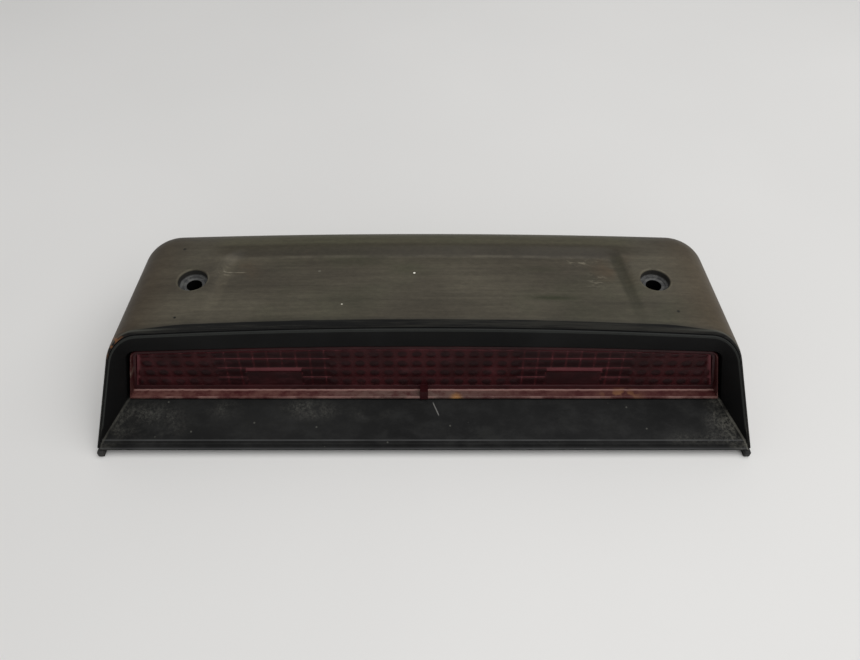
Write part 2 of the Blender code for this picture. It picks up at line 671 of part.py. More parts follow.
def main():
    clear_scene()
    plastic = material("weathered_plastic", (0.075, 0.070, 0.058), 0.6)
    black = material("black_plastic", (0.014, 0.015, 0.016), 0.45)
    red = material("red_lens", (0.10, 0.008, 0.012), 0.25, alpha=0.9)
    grey = material("grey_plastic", (0.25, 0.25, 0.26), 0.5)
    silver = material("reflector_silver", (0.82, 0.82, 0.84), 0.15, 1.0)
    glass = material("clear_glass", (0.9, 0.92, 0.93), 0.05, alpha=0.3)
    steel = material("zinc_steel", (0.55, 0.55, 0.57), 0.35, 1.0)
    brass = material("brass", (0.72, 0.53, 0.24), 0.3, 1.0)
    rubber = material("black_rubber", (0.02, 0.02, 0.02), 0.8)

    base = empty("base_frame", (0, -REAR_Y / 2, 0))
    lamp = empty("lamp_frame", (0, LENS_Y, LENS_Z), -LENS_TILT, base)
    sides = (("left", -1), ("right", 1))
    holder_axes = [
        empty(f"holder_axis_{word}", (side * HOLDER_X, 0, HOLDER_V), -math.pi / 2, lamp)
        for word, side in sides
    ]

    make_hood(base, plastic)
    make_bezel(base, lamp, black)
    make_lens(lamp, red)
    make_lens_gasket(lamp, rubber)
    make_lamp_body(lamp, holder_axes, grey)
    make_base_seal(base, rubber)
    make_header(base, black)
    for number in range(1, len(LAMP_SCREWS) + 1):
        make_lamp_screw(number, steel)
    seal_ring = [(HOLDER_R + 0.4, 34.0 + GAP), (9.4, 34.0 + GAP), (9.4, 35.3), (HOLDER_R + 0.4, 35.3)]
    boss_ring = [(SCREW_HOLE_R + 0.4, 0.0), (BOSS_SEAL_R, 0.0), (BOSS_SEAL_R, BASE_Z - GAP),
                 (SCREW_HOLE_R + 0.4, BASE_Z - GAP)]
    for (word, side), axis in zip(sides, holder_axes):
        make_reflector(f"reflector_{word}", side, lamp, silver)
        make_bulb(f"bulb_{word}", axis, glass)
        make_filament(f"filament_{word}", axis, steel)
        make_holder(f"bulb_holder_{word}", axis, black)
        lathe(f"holder_seal_{word}", seal_ring, rubber, axis, closed=True, steps=20)
        for pole, x in (("live", -3.45), ("earth", 3.45)):
            add_box(f"contact_{pole}_{word}", (x - 0.25, -1.2, 33.0), (x + 0.25, 1.2, 42.3), brass, axis)
        boss_axis = bpy.data.objects[f"boss_axis_{side}"]
        lathe(f"boss_seal_{word}", boss_ring, rubber, boss_axis, closed=True, steps=24)
        make_pin(f"connector_pin_{word}", side * PIN_X, base, brass)
        make_lead(f"lead_{word}", side, base, rubber)


main()
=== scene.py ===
"""Looks of the third brake light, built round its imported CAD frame.

Shapes and the places of marks are given in millimetres in the hood frame (+X to the side, +Y away
from the lens, y = 0 at the front tips, z = 0 on the floor), or in the lamp frame, which leans back
with the lens. add_piece turns them into the CAD frame's metres.
"""

import itertools
import math

import bmesh
import bpy
from mathutils import Matrix, Vector


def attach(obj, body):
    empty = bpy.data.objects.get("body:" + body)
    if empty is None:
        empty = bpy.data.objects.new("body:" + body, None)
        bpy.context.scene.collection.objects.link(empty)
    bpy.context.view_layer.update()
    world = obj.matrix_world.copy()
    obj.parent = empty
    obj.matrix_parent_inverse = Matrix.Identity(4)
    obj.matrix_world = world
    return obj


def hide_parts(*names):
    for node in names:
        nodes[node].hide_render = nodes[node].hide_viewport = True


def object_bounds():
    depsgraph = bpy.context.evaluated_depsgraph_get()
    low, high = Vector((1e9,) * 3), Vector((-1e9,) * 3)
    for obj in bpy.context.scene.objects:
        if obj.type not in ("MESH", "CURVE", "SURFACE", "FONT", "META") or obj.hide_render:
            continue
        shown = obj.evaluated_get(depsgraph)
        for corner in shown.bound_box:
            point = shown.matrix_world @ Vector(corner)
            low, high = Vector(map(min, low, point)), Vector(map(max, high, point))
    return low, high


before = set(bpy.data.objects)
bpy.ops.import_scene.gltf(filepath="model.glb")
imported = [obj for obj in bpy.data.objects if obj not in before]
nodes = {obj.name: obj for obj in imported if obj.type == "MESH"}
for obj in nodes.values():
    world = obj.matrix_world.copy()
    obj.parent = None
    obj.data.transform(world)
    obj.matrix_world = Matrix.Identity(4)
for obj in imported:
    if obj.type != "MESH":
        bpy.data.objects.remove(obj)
cad_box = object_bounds()

MM = 0.001
FRONT_Y = cad_box[0].y
REAR_Y = (cad_box[1].y - FRONT_Y) / MM
TO_FRAME = Matrix.Translation((0, FRONT_Y, 0)) @ Matrix.Scale(MM, 4)
ROOT, LEFT, RIGHT = "lamp", "left_holder", "right_holder"
SIDES = (-1, 1)

# Hood, with the CAD's dimensions
HALF_WIDTH, CORNER_R, TAPER = 140.6, 24.0, 0.0005
BASE_Z, TOP_Z, TOP_FRONT_Y, TOP_FALL, CROWN_R = 3.5, 51.2, 31.0, 0.015, 2600.0
RISE, FILLET_R, DRAFT, FRONT_SLOPE, WALL = 47.0, 14.0, math.radians(11.5), 1.645, 2.2
LIP_WALL, LIP_DEPTH, LIP_ROUND = 1.2, 3.6, 2.6
# The dish's outlines, as (half width at y = 0, rear y, corner radius, taper)
DISH_OUTER, DISH_INNER = (99.5, 79.5, 12.0, 0.00122), (93.5, 73.0, 8.0, 0.00122)
DISH_DEPTH, DISH_FADE_Y = 2.6, (36.0, 72.0)
SCREW_X, SCREW_Y, COUNTERBORE_R, SEAT_Z, SCREW_HOLE_R = 100.1, 58.8, 6.3, 45.4, 3.25
BOSS_R, RIB_HALF, RIB_FOOT_Z = 7.6, 0.8, 14.0
HEADER_BACK_Y, LEAD_Z = 92.0, 17.2
HOOK_X, HOOK_HALF, HOOK_FRONT_Y, HOOK_Z = 40.0, 1.2, 90.5, (10, 24)
LEAD_SLOT_HALF, LEAD_SLOT_Y = (5, 2.6), (88, 93.6)
SHELF_HALF, SHELF_Z = 7, (8, 18)
GAP = 0.3

# Lamp frame, lens and bezel, with the CAD's dimensions
LENS_TILT, LENS_Y, LENS_Z, LENS_HEIGHT = math.radians(9.5), 26.3, 15.0, 22.6
LENS_SIDE, LENS_DRAFT, LENS_CROWN_R, LENS_TAB = 126.8, math.radians(11.7), 2700.0, 1.7
LAMP_SCREWS = ((-30.0, 28.8), (30.0, 28.8), (-100.0, -9.4), (100.0, -9.4))
LAMP_BOSS_R, PILOT_R, BODY_FRONT = 3.1, 1.7, 9.8

# Lens optics: rows of pillows, two ribbed fields and a smooth window in each
CELL_WIDE, CELL_HIGH, CELL_BASE = 6.05, 5.3, 0.7
FIELD_X, WINDOW_X, WINDOW_ROWS = (40.3, 88.7), (52.4, 76.6), 2
PANEL_INSET, PANEL_SINK, PANEL_COLUMNS, PANEL_ROWS = 1.1, 0.9, 430, 48
PANEL_FRONT, PANEL_OVERLAP, PANEL_SMOOTH_DEG = 0.25, 0.2, 60.0
OPTIC_FLOOR, PILLOW_RISE, RIB_RISE, SHELF_RISE = 0.12, 0.5, 0.42, 0.25

# How finely curves are divided, and which edges stay sharp
WALL_STEPS, FILLET_STEPS, FLAT_STEPS, DISH_STEPS, INNER_STEPS = 5, 12, 6, 8, 12
SIDE_STEPS, CORNER_STEPS, BACK_STEPS, BOTTOM_STEPS = 12, 12, 20, 40
ROUND_STEPS, LIP_STEPS, CUTTER_STEPS, BEVEL_STEPS = 4, 6, 96, 2
SMOOTH_DEG, FLAT_DEG, WELD_DISTANCE = 32.0, 0.6, 2e-6
ROUND_REACH = 0.45  # how far a rounding may go towards the next ring
TALL = 1000  # the half height of a mark that reaches all the way down

# Camera, in millimetres, looking down by VIEW_DEG
FOCAL_MM, SENSOR_MM, SHIFT_X, VIEW_DEG = 31.8, 36.0, 0.007, 49
CAMERA_PLACE = (0.0, -173.2, 282.5)

# Stage, in metres, with its lights as (name, place, aim, size, power)
LIGHTS = (("ceiling_light", (0.45, -0.14, 1.12), (0, 0, 0), 1.4, 10.5),
          ("front_fill", (0.3, -0.9, 0.8), (0, 0, 0.02), 1.0, 1.6))
WORLD_STRENGTH, FLOOR_SIZE = 0.40, 6


# -------- building meshes
def add_object(name, data):
    made = bpy.data.objects.new(name, data)
    bpy.context.scene.collection.objects.link(made)
    return made


def add_piece(name, points, faces, paint, body, replaced=(), place=TO_FRAME, smooth_deg=SMOOTH_DEG):
    """A piece from points in millimetres; place turns them into the CAD frame's metres."""
    mesh = bpy.data.meshes.new(name)
    mesh.from_pydata([place @ Vector(p) for p in points], [], faces)
    work = bmesh.new()
    work.from_mesh(mesh)
    bmesh.ops.remove_doubles(work, verts=work.verts, dist=WELD_DISTANCE)
    bmesh.ops.recalc_face_normals(work, faces=work.faces)
    work.to_mesh(mesh)
    work.free()
    mesh.shade_smooth()
    mesh.set_sharp_from_angle(angle=math.radians(smooth_deg))
    piece = add_object(name, mesh)
    if paint:
        mesh.materials.append(paint)
    if body:
        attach(piece, body)
    if replaced:
        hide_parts(*replaced)
    return piece


def loft(rings, closed=False, caps=False):
    """Faces between rings of equal length; closed joins the last ring to the first."""
    count = len(rings[0])
    points = [tuple(p) for ring in rings for p in ring]
    faces = []
    for k in range(len(rings) if closed else len(rings) - 1):
        here, after = k * count, (k + 1) % len(rings) * count
        for i in range(count):
            j = (i + 1) % count
            faces.append((here + i, here + j, after + j, after + i))
    if caps:
        faces.append(tuple(range(count)))
        faces.append(tuple(range(len(points) - count, len(points))))
    return points, faces


def lathe(profile, steps):
    """Turns (radius, height) points, which start and end on the local Z axis, round it."""
    rings = []
    for k in range(steps):
        turn = 2 * math.pi * k / steps
        rings.append([(r * math.cos(turn), r * math.sin(turn), h) for r, h in profile])
    points, faces = loft(rings, closed=True)
    count = len(profile)
    return points, [face for face in faces if face[0] % count != count - 1]


def box(low, high):
    faces = [(0, 1, 3, 2), (4, 6, 7, 5), (0, 4, 5, 1), (2, 3, 7, 6), (0, 2, 6, 4), (1, 5, 7, 3)]
    return list(itertools.product(*zip(low, high))), faces


def rounded(before, corner, after, radius):
    """Rings that round a corner ring between its two neighbours."""
    rings = []
    for k in range(ROUND_STEPS + 1):
        t = k / ROUND_STEPS
        ring = []
        for a, b, c in zip(before, corner, after):
            b = Vector(b)
            start, end = Vector(a) - b, Vector(c) - b
            start *= min(radius / max(start.length, 1e-6), ROUND_REACH)
            end *= min(radius / max(end.length, 1e-6), ROUND_REACH)
            ring.append(b + start * (1 - t) ** 2 + end * t ** 2)
        rings.append(ring)
    return rings


def rounded_loop(rings, radii):
    """A closed run of rings with each ring whose radius isn't 0 rounded off."""
    result = []
    for k, (ring, radius) in enumerate(zip(rings, radii)):
        if radius:
            result += rounded(rings[k - 1], ring, rings[(k + 1) % len(rings)], radius)
        else:
            result.append(ring)
    return result


def combine(target, others, operation):
    """Applies Booleans with helper meshes, then removes the helpers."""
    for other in others:
        step = target.modifiers.new(operation.lower(), "BOOLEAN")
        step.operation = operation
        step.solver = "EXACT"
        step.object = other
    graph = bpy.context.evaluated_depsgraph_get()
    result = bpy.data.meshes.new_from_object(target.evaluated_get(graph), depsgraph=graph)
    target.modifiers.clear()
    target.data = result
    for other in others:
        bpy.data.objects.remove(other)
    return target


def helper(points, faces, place=TO_FRAME):
    """A mesh for combine to use up."""
    return add_piece("helper", points, faces, None, None, place=place)


def block(low, high, place=TO_FRAME):
    return helper(*box(low, high), place)


def finish_edges(piece, width=0.0):
    """Rounds the sharp edges of a piece and keeps its flat faces flat in the light."""
    piece.data.shade_smooth()
    piece.data.set_sharp_from_angle(angle=math.radians(SMOOTH_DEG))
    if width:
        bevel = piece.modifiers.new("edge", "BEVEL")
        bevel.width = width * MM
        bevel.segments = BEVEL_STEPS
        bevel.limit_method = "ANGLE"
        bevel.angle_limit = math.radians(SMOOTH_DEG)
        bevel.use_clamp_overlap = True
        bevel.harden_normals = True
    weigh = piece.modifiers.new("normals", "WEIGHTED_NORMAL")
    weigh.keep_sharp = True


def store(piece, name, values):
    """Stores a number for each point of a piece, for its material to read."""
    layer = piece.data.attributes.new(name, "FLOAT", "POINT")
    layer.data.foreach_set("value", values)


def refined(node, name, paint, body, width):
    """A copy of a CAD node with its flat faces whole and its edges rounded."""
    work = bmesh.new()
    work.from_mesh(nodes[node].data)
    bmesh.ops.remove_doubles(work, verts=work.verts, dist=WELD_DISTANCE)
    flat = math.radians(FLAT_DEG)
    bmesh.ops.dissolve_limit(work, angle_limit=flat, verts=work.verts, edges=work.edges)
    mesh = bpy.data.meshes.new(name)
    work.to_mesh(mesh)
    work.free()
    piece = add_object(name, mesh)
    mesh.materials.append(paint)
    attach(piece, body)
    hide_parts(node)
    finish_edges(piece, width)


# -------- hood surface
def ease(share):
    share = min(max(share, 0.0), 1.0)
    return share * share * (3 - 2 * share)


def mix(a, b, share):
    return tuple(p + (q - p) * share for p, q in zip(a, b))


def top_height(x, y):
    return TOP_Z - TOP_FALL * (y - TOP_FRONT_Y) - x * x / (2 * CROWN_R)


def dish_depth(share, y):
    fade = (y - DISH_FADE_Y[0]) / (DISH_FADE_Y[1] - DISH_FADE_Y[0])
    return DISH_DEPTH * ease(share) * min(max(fade, 0.0), 1.0)


def hood_rows(inside):
    """U-shaped lines from the hood's lower edge to its middle.

    Each is (half width at y = 0, rear y, corner radius, taper, share of the rise, share of the dish).
    """
    outline = (HALF_WIDTH - inside, REAR_Y - inside, CORNER_R - inside)
    rise, radius = RISE - inside, FILLET_R - inside
    centre_z = rise - radius
    wall_z = centre_z + radius * math.sin(DRAFT)
    wall_inset = wall_z * math.tan(DRAFT)
    centre_inset = wall_inset + radius * math.cos(DRAFT)
    rows = []
    for k in range(WALL_STEPS + 1):
        share = k / WALL_STEPS
        rows.append((*(a - wall_inset * share for a in outline), TAPER, wall_z * share / rise, 0.0))
    for k in range(1, FILLET_STEPS + 1):
        angle = DRAFT + (math.pi / 2 - DRAFT) * k / FILLET_STEPS
        inset = centre_inset - radius * math.cos(angle)
        height = centre_z + radius * math.sin(angle)
        rows.append((*(a - inset for a in outline), TAPER, height / rise, 0.0))
    flat = rows[-1][:4]
    rows += [(*mix(flat, DISH_OUTER, k / FLAT_STEPS), 1.0, 0.0) for k in range(1, FLAT_STEPS)]
    for k in range(DISH_STEPS + 1):
        rows.append((*mix(DISH_OUTER, DISH_INNER, k / DISH_STEPS), 1.0, k / DISH_STEPS))
    middle = (0.0, 50.0, 0.0, TAPER)
    rows += [(*mix(DISH_INNER, middle, k / INNER_STEPS), 1.0, 1.0) for k in range(1, INNER_STEPS + 1)]
    return rows


def row_height(row, x, y, inside):
    return BASE_Z + row[4] * (top_height(x, y) - inside - BASE_Z) - dish_depth(row[5], y)


def front_point(row, inside):
    """Where a row meets the slanted plane of the hood's open front."""
    y = 0.0
    for _ in range(20):
        x = row[0] * (1 - row[3] * y)
        y = row_height(row, x, y, inside) / FRONT_SLOPE
    return x, y, row_height(row, x, y, inside)


def plan_line(half_width, rear, radius, taper, front_y, edge=0.0):
    """The plan of a U from its front right end round the rear to its front left end.

    With edge, each side gets a point of its own that far behind the front.
    """
    lean = math.atan(half_width * taper)
    arc_y = rear - radius
    side_y = arc_y + radius * math.sin(lean)
    arc_x = half_width * (1 - taper * side_y) - radius * math.cos(lean)
    start = front_y + edge
    places = [front_y] if edge else []
    places += [start + (side_y - start) * k / SIDE_STEPS for k in range(SIDE_STEPS)]
    right = [(half_width * (1 - taper * y), y) for y in places]
    for k in range(CORNER_STEPS + 1):
        angle = lean + (math.pi / 2 - lean) * k / CORNER_STEPS
        right.append((arc_x + radius * math.cos(angle), arc_y + radius * math.sin(angle)))
    right += [(arc_x * (1 - k / BACK_STEPS), rear) for k in range(1, BACK_STEPS + 1)]
    return right + [(-x, y) for x, y in reversed(right[:-1])]


def hood_grid(inside, edge=0.0):
    grid = []
    for row in hood_rows(inside):
        line = plan_line(*row[:4], front_point(row, inside)[1], edge)
        grid.append([Vector((x, y, row_height(row, x, y, inside))) for x, y in line])
    return grid


def hood_lining():
    """The hood's inner surface, with the rabbet along the open front that holds the bezel's edge."""
    grid = []
    for lip, row in zip(hood_rows(LIP_WALL), hood_rows(WALL)):
        front_y = front_point(lip, LIP_WALL)[1]
        back_y = front_y + LIP_DEPTH
        rabbet = []
        for y in (front_y, back_y):
            x = lip[0] * (1 - lip[3] * y)
            rabbet.append(Vector((x, y, row_height(lip, x, y, LIP_WALL))))
        line = [Vector((x, y, row_height(row, x, y, WALL))) for x, y in plan_line(*row[:4], back_y)]
        grid.append(rabbet + line + [Vector((-p.x, p.y, p.z)) for p in reversed(rabbet)])
    return grid


def round_lip(outer, inner):
    """Points that round the front lip, from the outer line's second point towards the inner line."""
    corner = outer[0]
    back, down = outer[1] - corner, (inner[0] - corner) * 0.75
    steps = [k / LIP_STEPS for k in range(LIP_STEPS + 1)]
    return [corner + back * (1 - t) ** 2 + down * t ** 2 for t in steps]


def hood_shell_mesh():
    """The hood's wall. Each row is a loop over the outside, round the lip and back along the inside."""
    loops = []
    for outer, inner in zip(hood_grid(0.0, LIP_ROUND), hood_lining()):
        right = round_lip(outer, inner)
        left = round_lip(outer[::-1], inner[::-1])
        loops.append(outer[2:-2] + left + inner[::-1] + right[::-1])
    points, faces = loft(loops)
    faces.append(tuple(range(len(loops[0]))))
    return points, faces


def dome_mesh(inside):
    grid = hood_grid(inside)
    rows, columns = len(grid), len(grid[0])
    points = [p for row in grid for p in row]
    faces = [
        (i * columns + j, i * columns + j + 1, (i + 1) * columns + j + 1, (i + 1) * columns + j)
        for i in range(rows - 1) for j in range(columns - 1)
    ]
    faces.append(tuple(range(columns)))
    up = [i * columns for i in range(rows)]
    down = [i * columns + columns - 1 for i in range(rows - 1)]
    faces.append(tuple(up + down[::-1]))
    return points, faces


# -------- lamp outlines
LAMP_TO_FRAME = TO_FRAME @ Matrix.Translation((0, LENS_Y, LENS_Z)) @ Matrix.Rotation(-LENS_TILT, 4, "X")


def to_hood_frame(x, depth, v):
    """A point of the lamp frame: across, depth behind the lens face, and height up it."""
    s, c = math.sin(LENS_TILT), math.cos(LENS_TILT)
    return x, LENS_Y + v * s + depth * c, LENS_Z + v * c - depth * s


def lens_top(x):
    return LENS_HEIGHT - x * x / (2 * LENS_CROWN_R)


def top_shares():
    rows = hood_rows(0.0)[WALL_STEPS + FILLET_STEPS:]
    return [row[0] / rows[0][0] for row in rows]


def ring_of(half, bottom):
    left = [(-p[0], *p[1:]) for p in reversed(half[:-1])]
    return half + left + bottom


def bottom_line(side, *rest):
    return [(side * (2 * k / BOTTOM_STEPS - 1), *rest) for k in range(1, BOTTOM_STEPS)]


def lens_ring(grow, low, high, radius, depth_low, depth_top):
    """A lens-shaped ring, as in the CAD.

    Its sides, foot and top are moved by grow, low and high, and radius rounds its upper corners.
    """
    slope = math.tan(LENS_DRAFT)
    side = LENS_SIDE + grow
    corner_v = lens_top(side - slope * LENS_HEIGHT - radius) + high - radius
    corner_x = side - slope * corner_v - radius / math.cos(LENS_DRAFT)
    half = []
    for k in range(WALL_STEPS):
        v = low + (corner_v - low) * k / WALL_STEPS
        half.append((side - slope * v, v))
    for k in range(FILLET_STEPS + 1):
        angle = LENS_DRAFT + (math.pi / 2 - LENS_DRAFT) * k / FILLET_STEPS
        half.append((corner_x + radius * math.cos(angle), corner_v + radius * math.sin(angle)))
    half += [(corner_x * share, lens_top(corner_x * share) + high) for share in top_shares()[1:]]
    reach = LENS_HEIGHT + high - low
    placed = [(x, depth_low + (depth_top - depth_low) * (v - low) / reach, v) for x, v in half]
    ring = ring_of(placed, bottom_line(placed[0][0], depth_low, low))
    return [to_hood_frame(*p) for p in ring]


def arch_ring(inside, low, low_y, shift):
    """A ring just inside the hood's open front, as in the CAD."""
    rows = hood_rows(inside)
    base, top = front_point(rows[0], inside), front_point(rows[WALL_STEPS], inside)
    start = mix(base, top, (low - base[2]) / (top[2] - base[2]))
    half = [mix(start, top, k / WALL_STEPS) for k in range(WALL_STEPS)]
    half += [front_point(row, inside) for row in rows[WALL_STEPS:]]
    half = [(x * (1 - TAPER * shift), y + shift, z) for x, y, z in half]
    half[0] = (half[0][0], low_y, low)
    return ring_of(half, bottom_line(half[0][0], low_y, low))


# -------- materials
def srgb(code):
    """A linear colour from a #rrggbb code."""
    parts = [int(code[k:k + 2], 16) / 255 for k in (1, 3, 5)]
    return [p / 12.92 if p <= 0.04045 else ((p + 0.055) / 1.055) ** 2.4 for p in parts] + [1.0]


class Paint:
    """The nodes of one material. Every method that draws returns the socket of what it drew."""

    def __init__(self, name, roughness=0.5, metallic=0.0, specular=0.5):
        self.material = bpy.data.materials.new(name)
        self.material.use_nodes = True
        self.tree = self.material.node_tree
        self.shader = self.tree.nodes["Principled BSDF"]
        self.shader.inputs["Roughness"].default_value = roughness
        self.shader.inputs["Metallic"].default_value = metallic
        self.shader.inputs["Specular IOR Level"].default_value = specular
        self.place = self.add("TexCoord").outputs["Object"]

    def add(self, kind):
        return self.tree.nodes.new("ShaderNode" + kind)

    def put(self, socket, value):
        if isinstance(value, bpy.types.NodeSocket):
            self.tree.links.new(value, socket)
        else:
            socket.default_value = value

    def math(self, operation, a, b=0.0):
        made = self.add("Math")
        made.operation = operation
        self.put(made.inputs[0], a)
        self.put(made.inputs[1], b)
        return made.outputs[0]

    def times(self, first, *others):
        """The product of some values; a product of shares is high only where they all are."""
        for other in others:
            first = self.math("MULTIPLY", first, other)
        return first

    def ramp(self, value, low, high):
        """0 below low and 1 above high, and smooth between; low may be the larger."""
        made = self.range(value, float(low > high), float(low <= high)).node
        made.interpolation_type = "SMOOTHSTEP"
        made.inputs["From Min"].default_value = min(low, high)
        made.inputs["From Max"].default_value = max(low, high)
        return made.outputs[0]

    def range(self, value, low, high):
        """Spreads a value from 0 to 1 over low to high."""
        made = self.add("MapRange")
        self.put(made.inputs["Value"], value)
        made.inputs["To Min"].default_value = low
        made.inputs["To Max"].default_value = high
        return made.outputs[0]

    def stretched(self, stretch, shift=(0, 0, 0)):
        made = self.add("Mapping")
        self.put(made.inputs["Vector"], self.place)
        made.inputs["Scale"].default_value = stretch
        made.inputs["Location"].default_value = shift
        return made.outputs[0]

    def noise(self, scale, detail=3.0, stretch=(1, 1, 1), shift=(0, 0, 0), roughness=0.5):
        """Cloudy noise, with its scale per metre."""
        made = self.add("TexNoise")
        self.put(made.inputs["Vector"], self.stretched(stretch, shift))
        made.inputs["Scale"].default_value = scale
        made.inputs["Detail"].default_value = detail
        made.inputs["Roughness"].default_value = roughness
        return made.outputs["Fac"]

    def specks(self, scale, size, share):
        """Small round dots in a share of the cells of a Voronoi pattern."""
        made = self.add("TexVoronoi")
        self.put(made.inputs["Vector"], self.place)
        made.inputs["Scale"].default_value = scale
        split = self.add("SeparateColor")
        self.put(split.inputs[0], made.outputs["Color"])
        chosen = self.ramp(split.outputs[0], 1.0 - share, 1.0 - share + 0.02)
        dots = self.ramp(made.outputs["Distance"], size, size * 0.5)
        return self.times(chosen, dots)

    def axis(self, letter):
        """A coordinate in millimetres in the hood frame."""
        made = self.add("SeparateXYZ")
        self.put(made.inputs[0], self.stretched([1 / MM] * 3, (0, -FRONT_Y / MM, 0)))
        return made.outputs[letter]

    def aside(self):
        """Distance from the middle of the lamp, to either side."""
        return self.math("ABSOLUTE", self.axis("X"))

    def blob(self, centre, size, soft=1.0):
        """1 at a place in the hood frame, falling to 0 at the given half sizes."""
        place = TO_FRAME @ Vector(centre)
        stretch = [1 / (s * MM) for s in size]
        moved = self.stretched(stretch, [-p * s for p, s in zip(place, stretch)])
        length = self.add("VectorMath")
        length.operation = "LENGTH"
        self.put(length.inputs[0], moved)
        return self.ramp(length.outputs["Value"], 1.0, 1.0 - soft)

    def disc(self, centre, radius, soft):
        """1 within a radius of an upright axis, with a soft rim."""
        return self.blob(centre, (radius, radius, TALL), soft)

    def band(self, value, centre, half):
        """1 where a value is within half of centre, with soft sides."""
        away = self.math("ABSOLUTE", self.math("SUBTRACT", value, centre))
        return self.ramp(away, half, half * 0.4)

    def behind_front(self):
        """How far a place is behind the slanted plane of the hood's open front."""
        past = self.math("SUBTRACT", self.times(self.axis("Y"), FRONT_SLOPE), self.axis("Z"))
        return self.math("DIVIDE", past, math.hypot(1, FRONT_SLOPE))

    def facing_up(self):
        """1 where the surface looks up, 0 where it looks sideways or down."""
        made = self.add("NewGeometry")
        split = self.add("SeparateXYZ")
        self.put(split.inputs[0], made.outputs["Normal"])
        return self.ramp(split.outputs["Z"], 0.15, 0.45)

    def lamp_axes(self):
        """Height up the lens face and depth behind it."""
        y = self.math("SUBTRACT", self.axis("Y"), LENS_Y)
        z = self.math("SUBTRACT", self.axis("Z"), LENS_Z)
        s, c = math.sin(LENS_TILT), math.cos(LENS_TILT)
        height = self.math("ADD", self.times(y, s), self.times(z, c))
        return height, self.math("SUBTRACT", self.times(y, c), self.times(z, s))

    def mix(self, share, a, b):
        made = self.add("Mix")
        made.data_type = "RGBA"
        self.put(made.inputs["Factor"], share)
        self.put(made.inputs["A"], srgb(a) if isinstance(a, str) else a)
        self.put(made.inputs["B"], srgb(b) if isinstance(b, str) else b)
        return made.outputs["Result"]

    def cover(self, colour, share, strength, other):
        """Lays another colour over the first, by a share and a strength."""
        return self.mix(self.times(share, strength), colour, other)

    def shade(self, colour, value, low, high):
        """Darkens and lightens a colour by a value from 0 to 1."""
        scale = self.add("VectorMath")
        scale.operation = "SCALE"
        self.put(scale.inputs[0], colour)
        self.put(scale.inputs["Scale"], self.range(value, low, high))
        return scale.outputs[0]

    def attribute(self, name):
        made = self.add("Attribute")
        made.attribute_name = name
        return made.outputs["Fac"]

    def surface(self, colour, roughness=None, height=None, bump=0.1, depth=0.1):
        """Joins what was drawn to the shader; depth is the bump's, in millimetres."""
        self.put(self.shader.inputs["Base Color"], colour)
        if roughness is not None:
            self.put(self.shader.inputs["Roughness"], roughness)
        if height is not None:
            made = self.add("Bump")
            made.inputs["Strength"].default_value = bump
            made.inputs["Distance"].default_value = depth * MM
            self.put(made.inputs["Height"], height)
            self.put(self.shader.inputs["Normal"], made.outputs[0])
        return self.material


# Marks on the hood's top, as (centre, half sizes, strength or colour)
OLIVE_STREAKS = (((54, 47.5, 48), (17, 3.2, 12), 0.95), ((50, 66, 48), (16, 4, 12), 0.35),
                 ((-8, 66, 48), (12, 8, 12), 0.4), ((-30, 71, 48), (24, 4, 12), 0.3))
SCUFFS = (((-88, 63, 48), (7, 9, 12)), ((75, 59, 48), (9, 8, 12)), ((70, 71, 48), (14, 5, 12)))
FLECKS = (((-4.2, 63, 48), (0.6, 0.6, 12), "#f0ece0"), ((-34.3, 43, 49), (0.5, 0.5, 12), "#b9b4a6"),
          ((-103, 36.5, 49), (0.7, 0.7, 12), "#0c0b09"))
FLANK_TINTS = ((-1, "#372b1d"), (1, "#4c4030"))


def hood_paint():
    """Dark plastic weathered to olive brown on top, with wear, stains and a blacker front lip, and
    painted light and shade on the dish, the lip's edge and the screw holes.
    """
    p = Paint("hood_weathered", specular=0.24)
    streaks = p.noise(150, 7, (0.12, 2.6, 2.6), roughness=0.74)
    colour = hood_weathering(p, streaks)
    colour = hood_dish_light_shade_and_tint(p, colour)
    colour = hood_marks(p, colour, streaks)
    colour = hood_bores(p, colour)
    colour, lip = hood_lip(p, colour, streaks)
    crumbs = p.ramp(p.noise(300, 5, roughness=0.75), 0.44, 0.56)
    colour = p.cover(colour, p.times(p.blob((-129, 27, 44), (10, 9, 8)), crumbs), 0.95, "#7d5232")
    clean = p.mix(p.ramp(p.noise(40, 4), 0.35, 0.7), "#151515", "#201f1d")
    colour = p.mix(p.attribute("inside"), colour, clean)
    roughness = p.range(p.noise(45, 4, (0.6, 1.4, 1), shift=(0, 4, 0)), 0.40, 0.62)
    roughness = p.math("ADD", roughness, p.times(lip, 0.35))
    height = p.math("ADD", p.noise(1500, 2), p.times(streaks, 1.2))
    return p.surface(colour, roughness, height, 0.3, 0.06)


def hood_weathering(p, streaks):
    """The faded colour of the whole hood: clouds, long streaks, stained ends and a dirty back."""
    clouds = p.noise(20, 4, (1, 1.5, 1))
    colour = p.mix(p.ramp(clouds, 0.35, 0.68), "#413c32", "#504b3f")
    green = p.ramp(p.noise(28, 3, shift=(3, 1, 0)), 0.48, 0.72)
    colour = p.cover(colour, green, 0.3, "#424533")
    colour = p.shade(colour, p.ramp(streaks, 0.25, 0.75), 0.78, 1.18)
    wisps = p.ramp(p.noise(30, 4, (0.3, 2.4, 2.4), shift=(0, 7, 0)), 0.3, 0.75)
    colour = p.shade(colour, wisps, 0.88, 1.1)
    for side, tint in FLANK_TINTS:
        stain = p.blob((side * 84, 66, 48), (17, 15, 14))
        patchy = p.ramp(p.noise(75, 4, shift=(side, 0, 2)), 0.38, 0.62)
        colour = p.cover(colour, p.times(stain, patchy), 0.4, "#51402e")
        flank = p.ramp(p.times(p.axis("X"), side), 98, 130)
        colour = p.cover(colour, flank, 0.72, tint)
    dirt = p.times(p.ramp(p.axis("Y"), 69.1, 93.1), p.ramp(clouds, 0.3, 0.6))
    return p.cover(colour, dirt, 0.4, "#302d26")


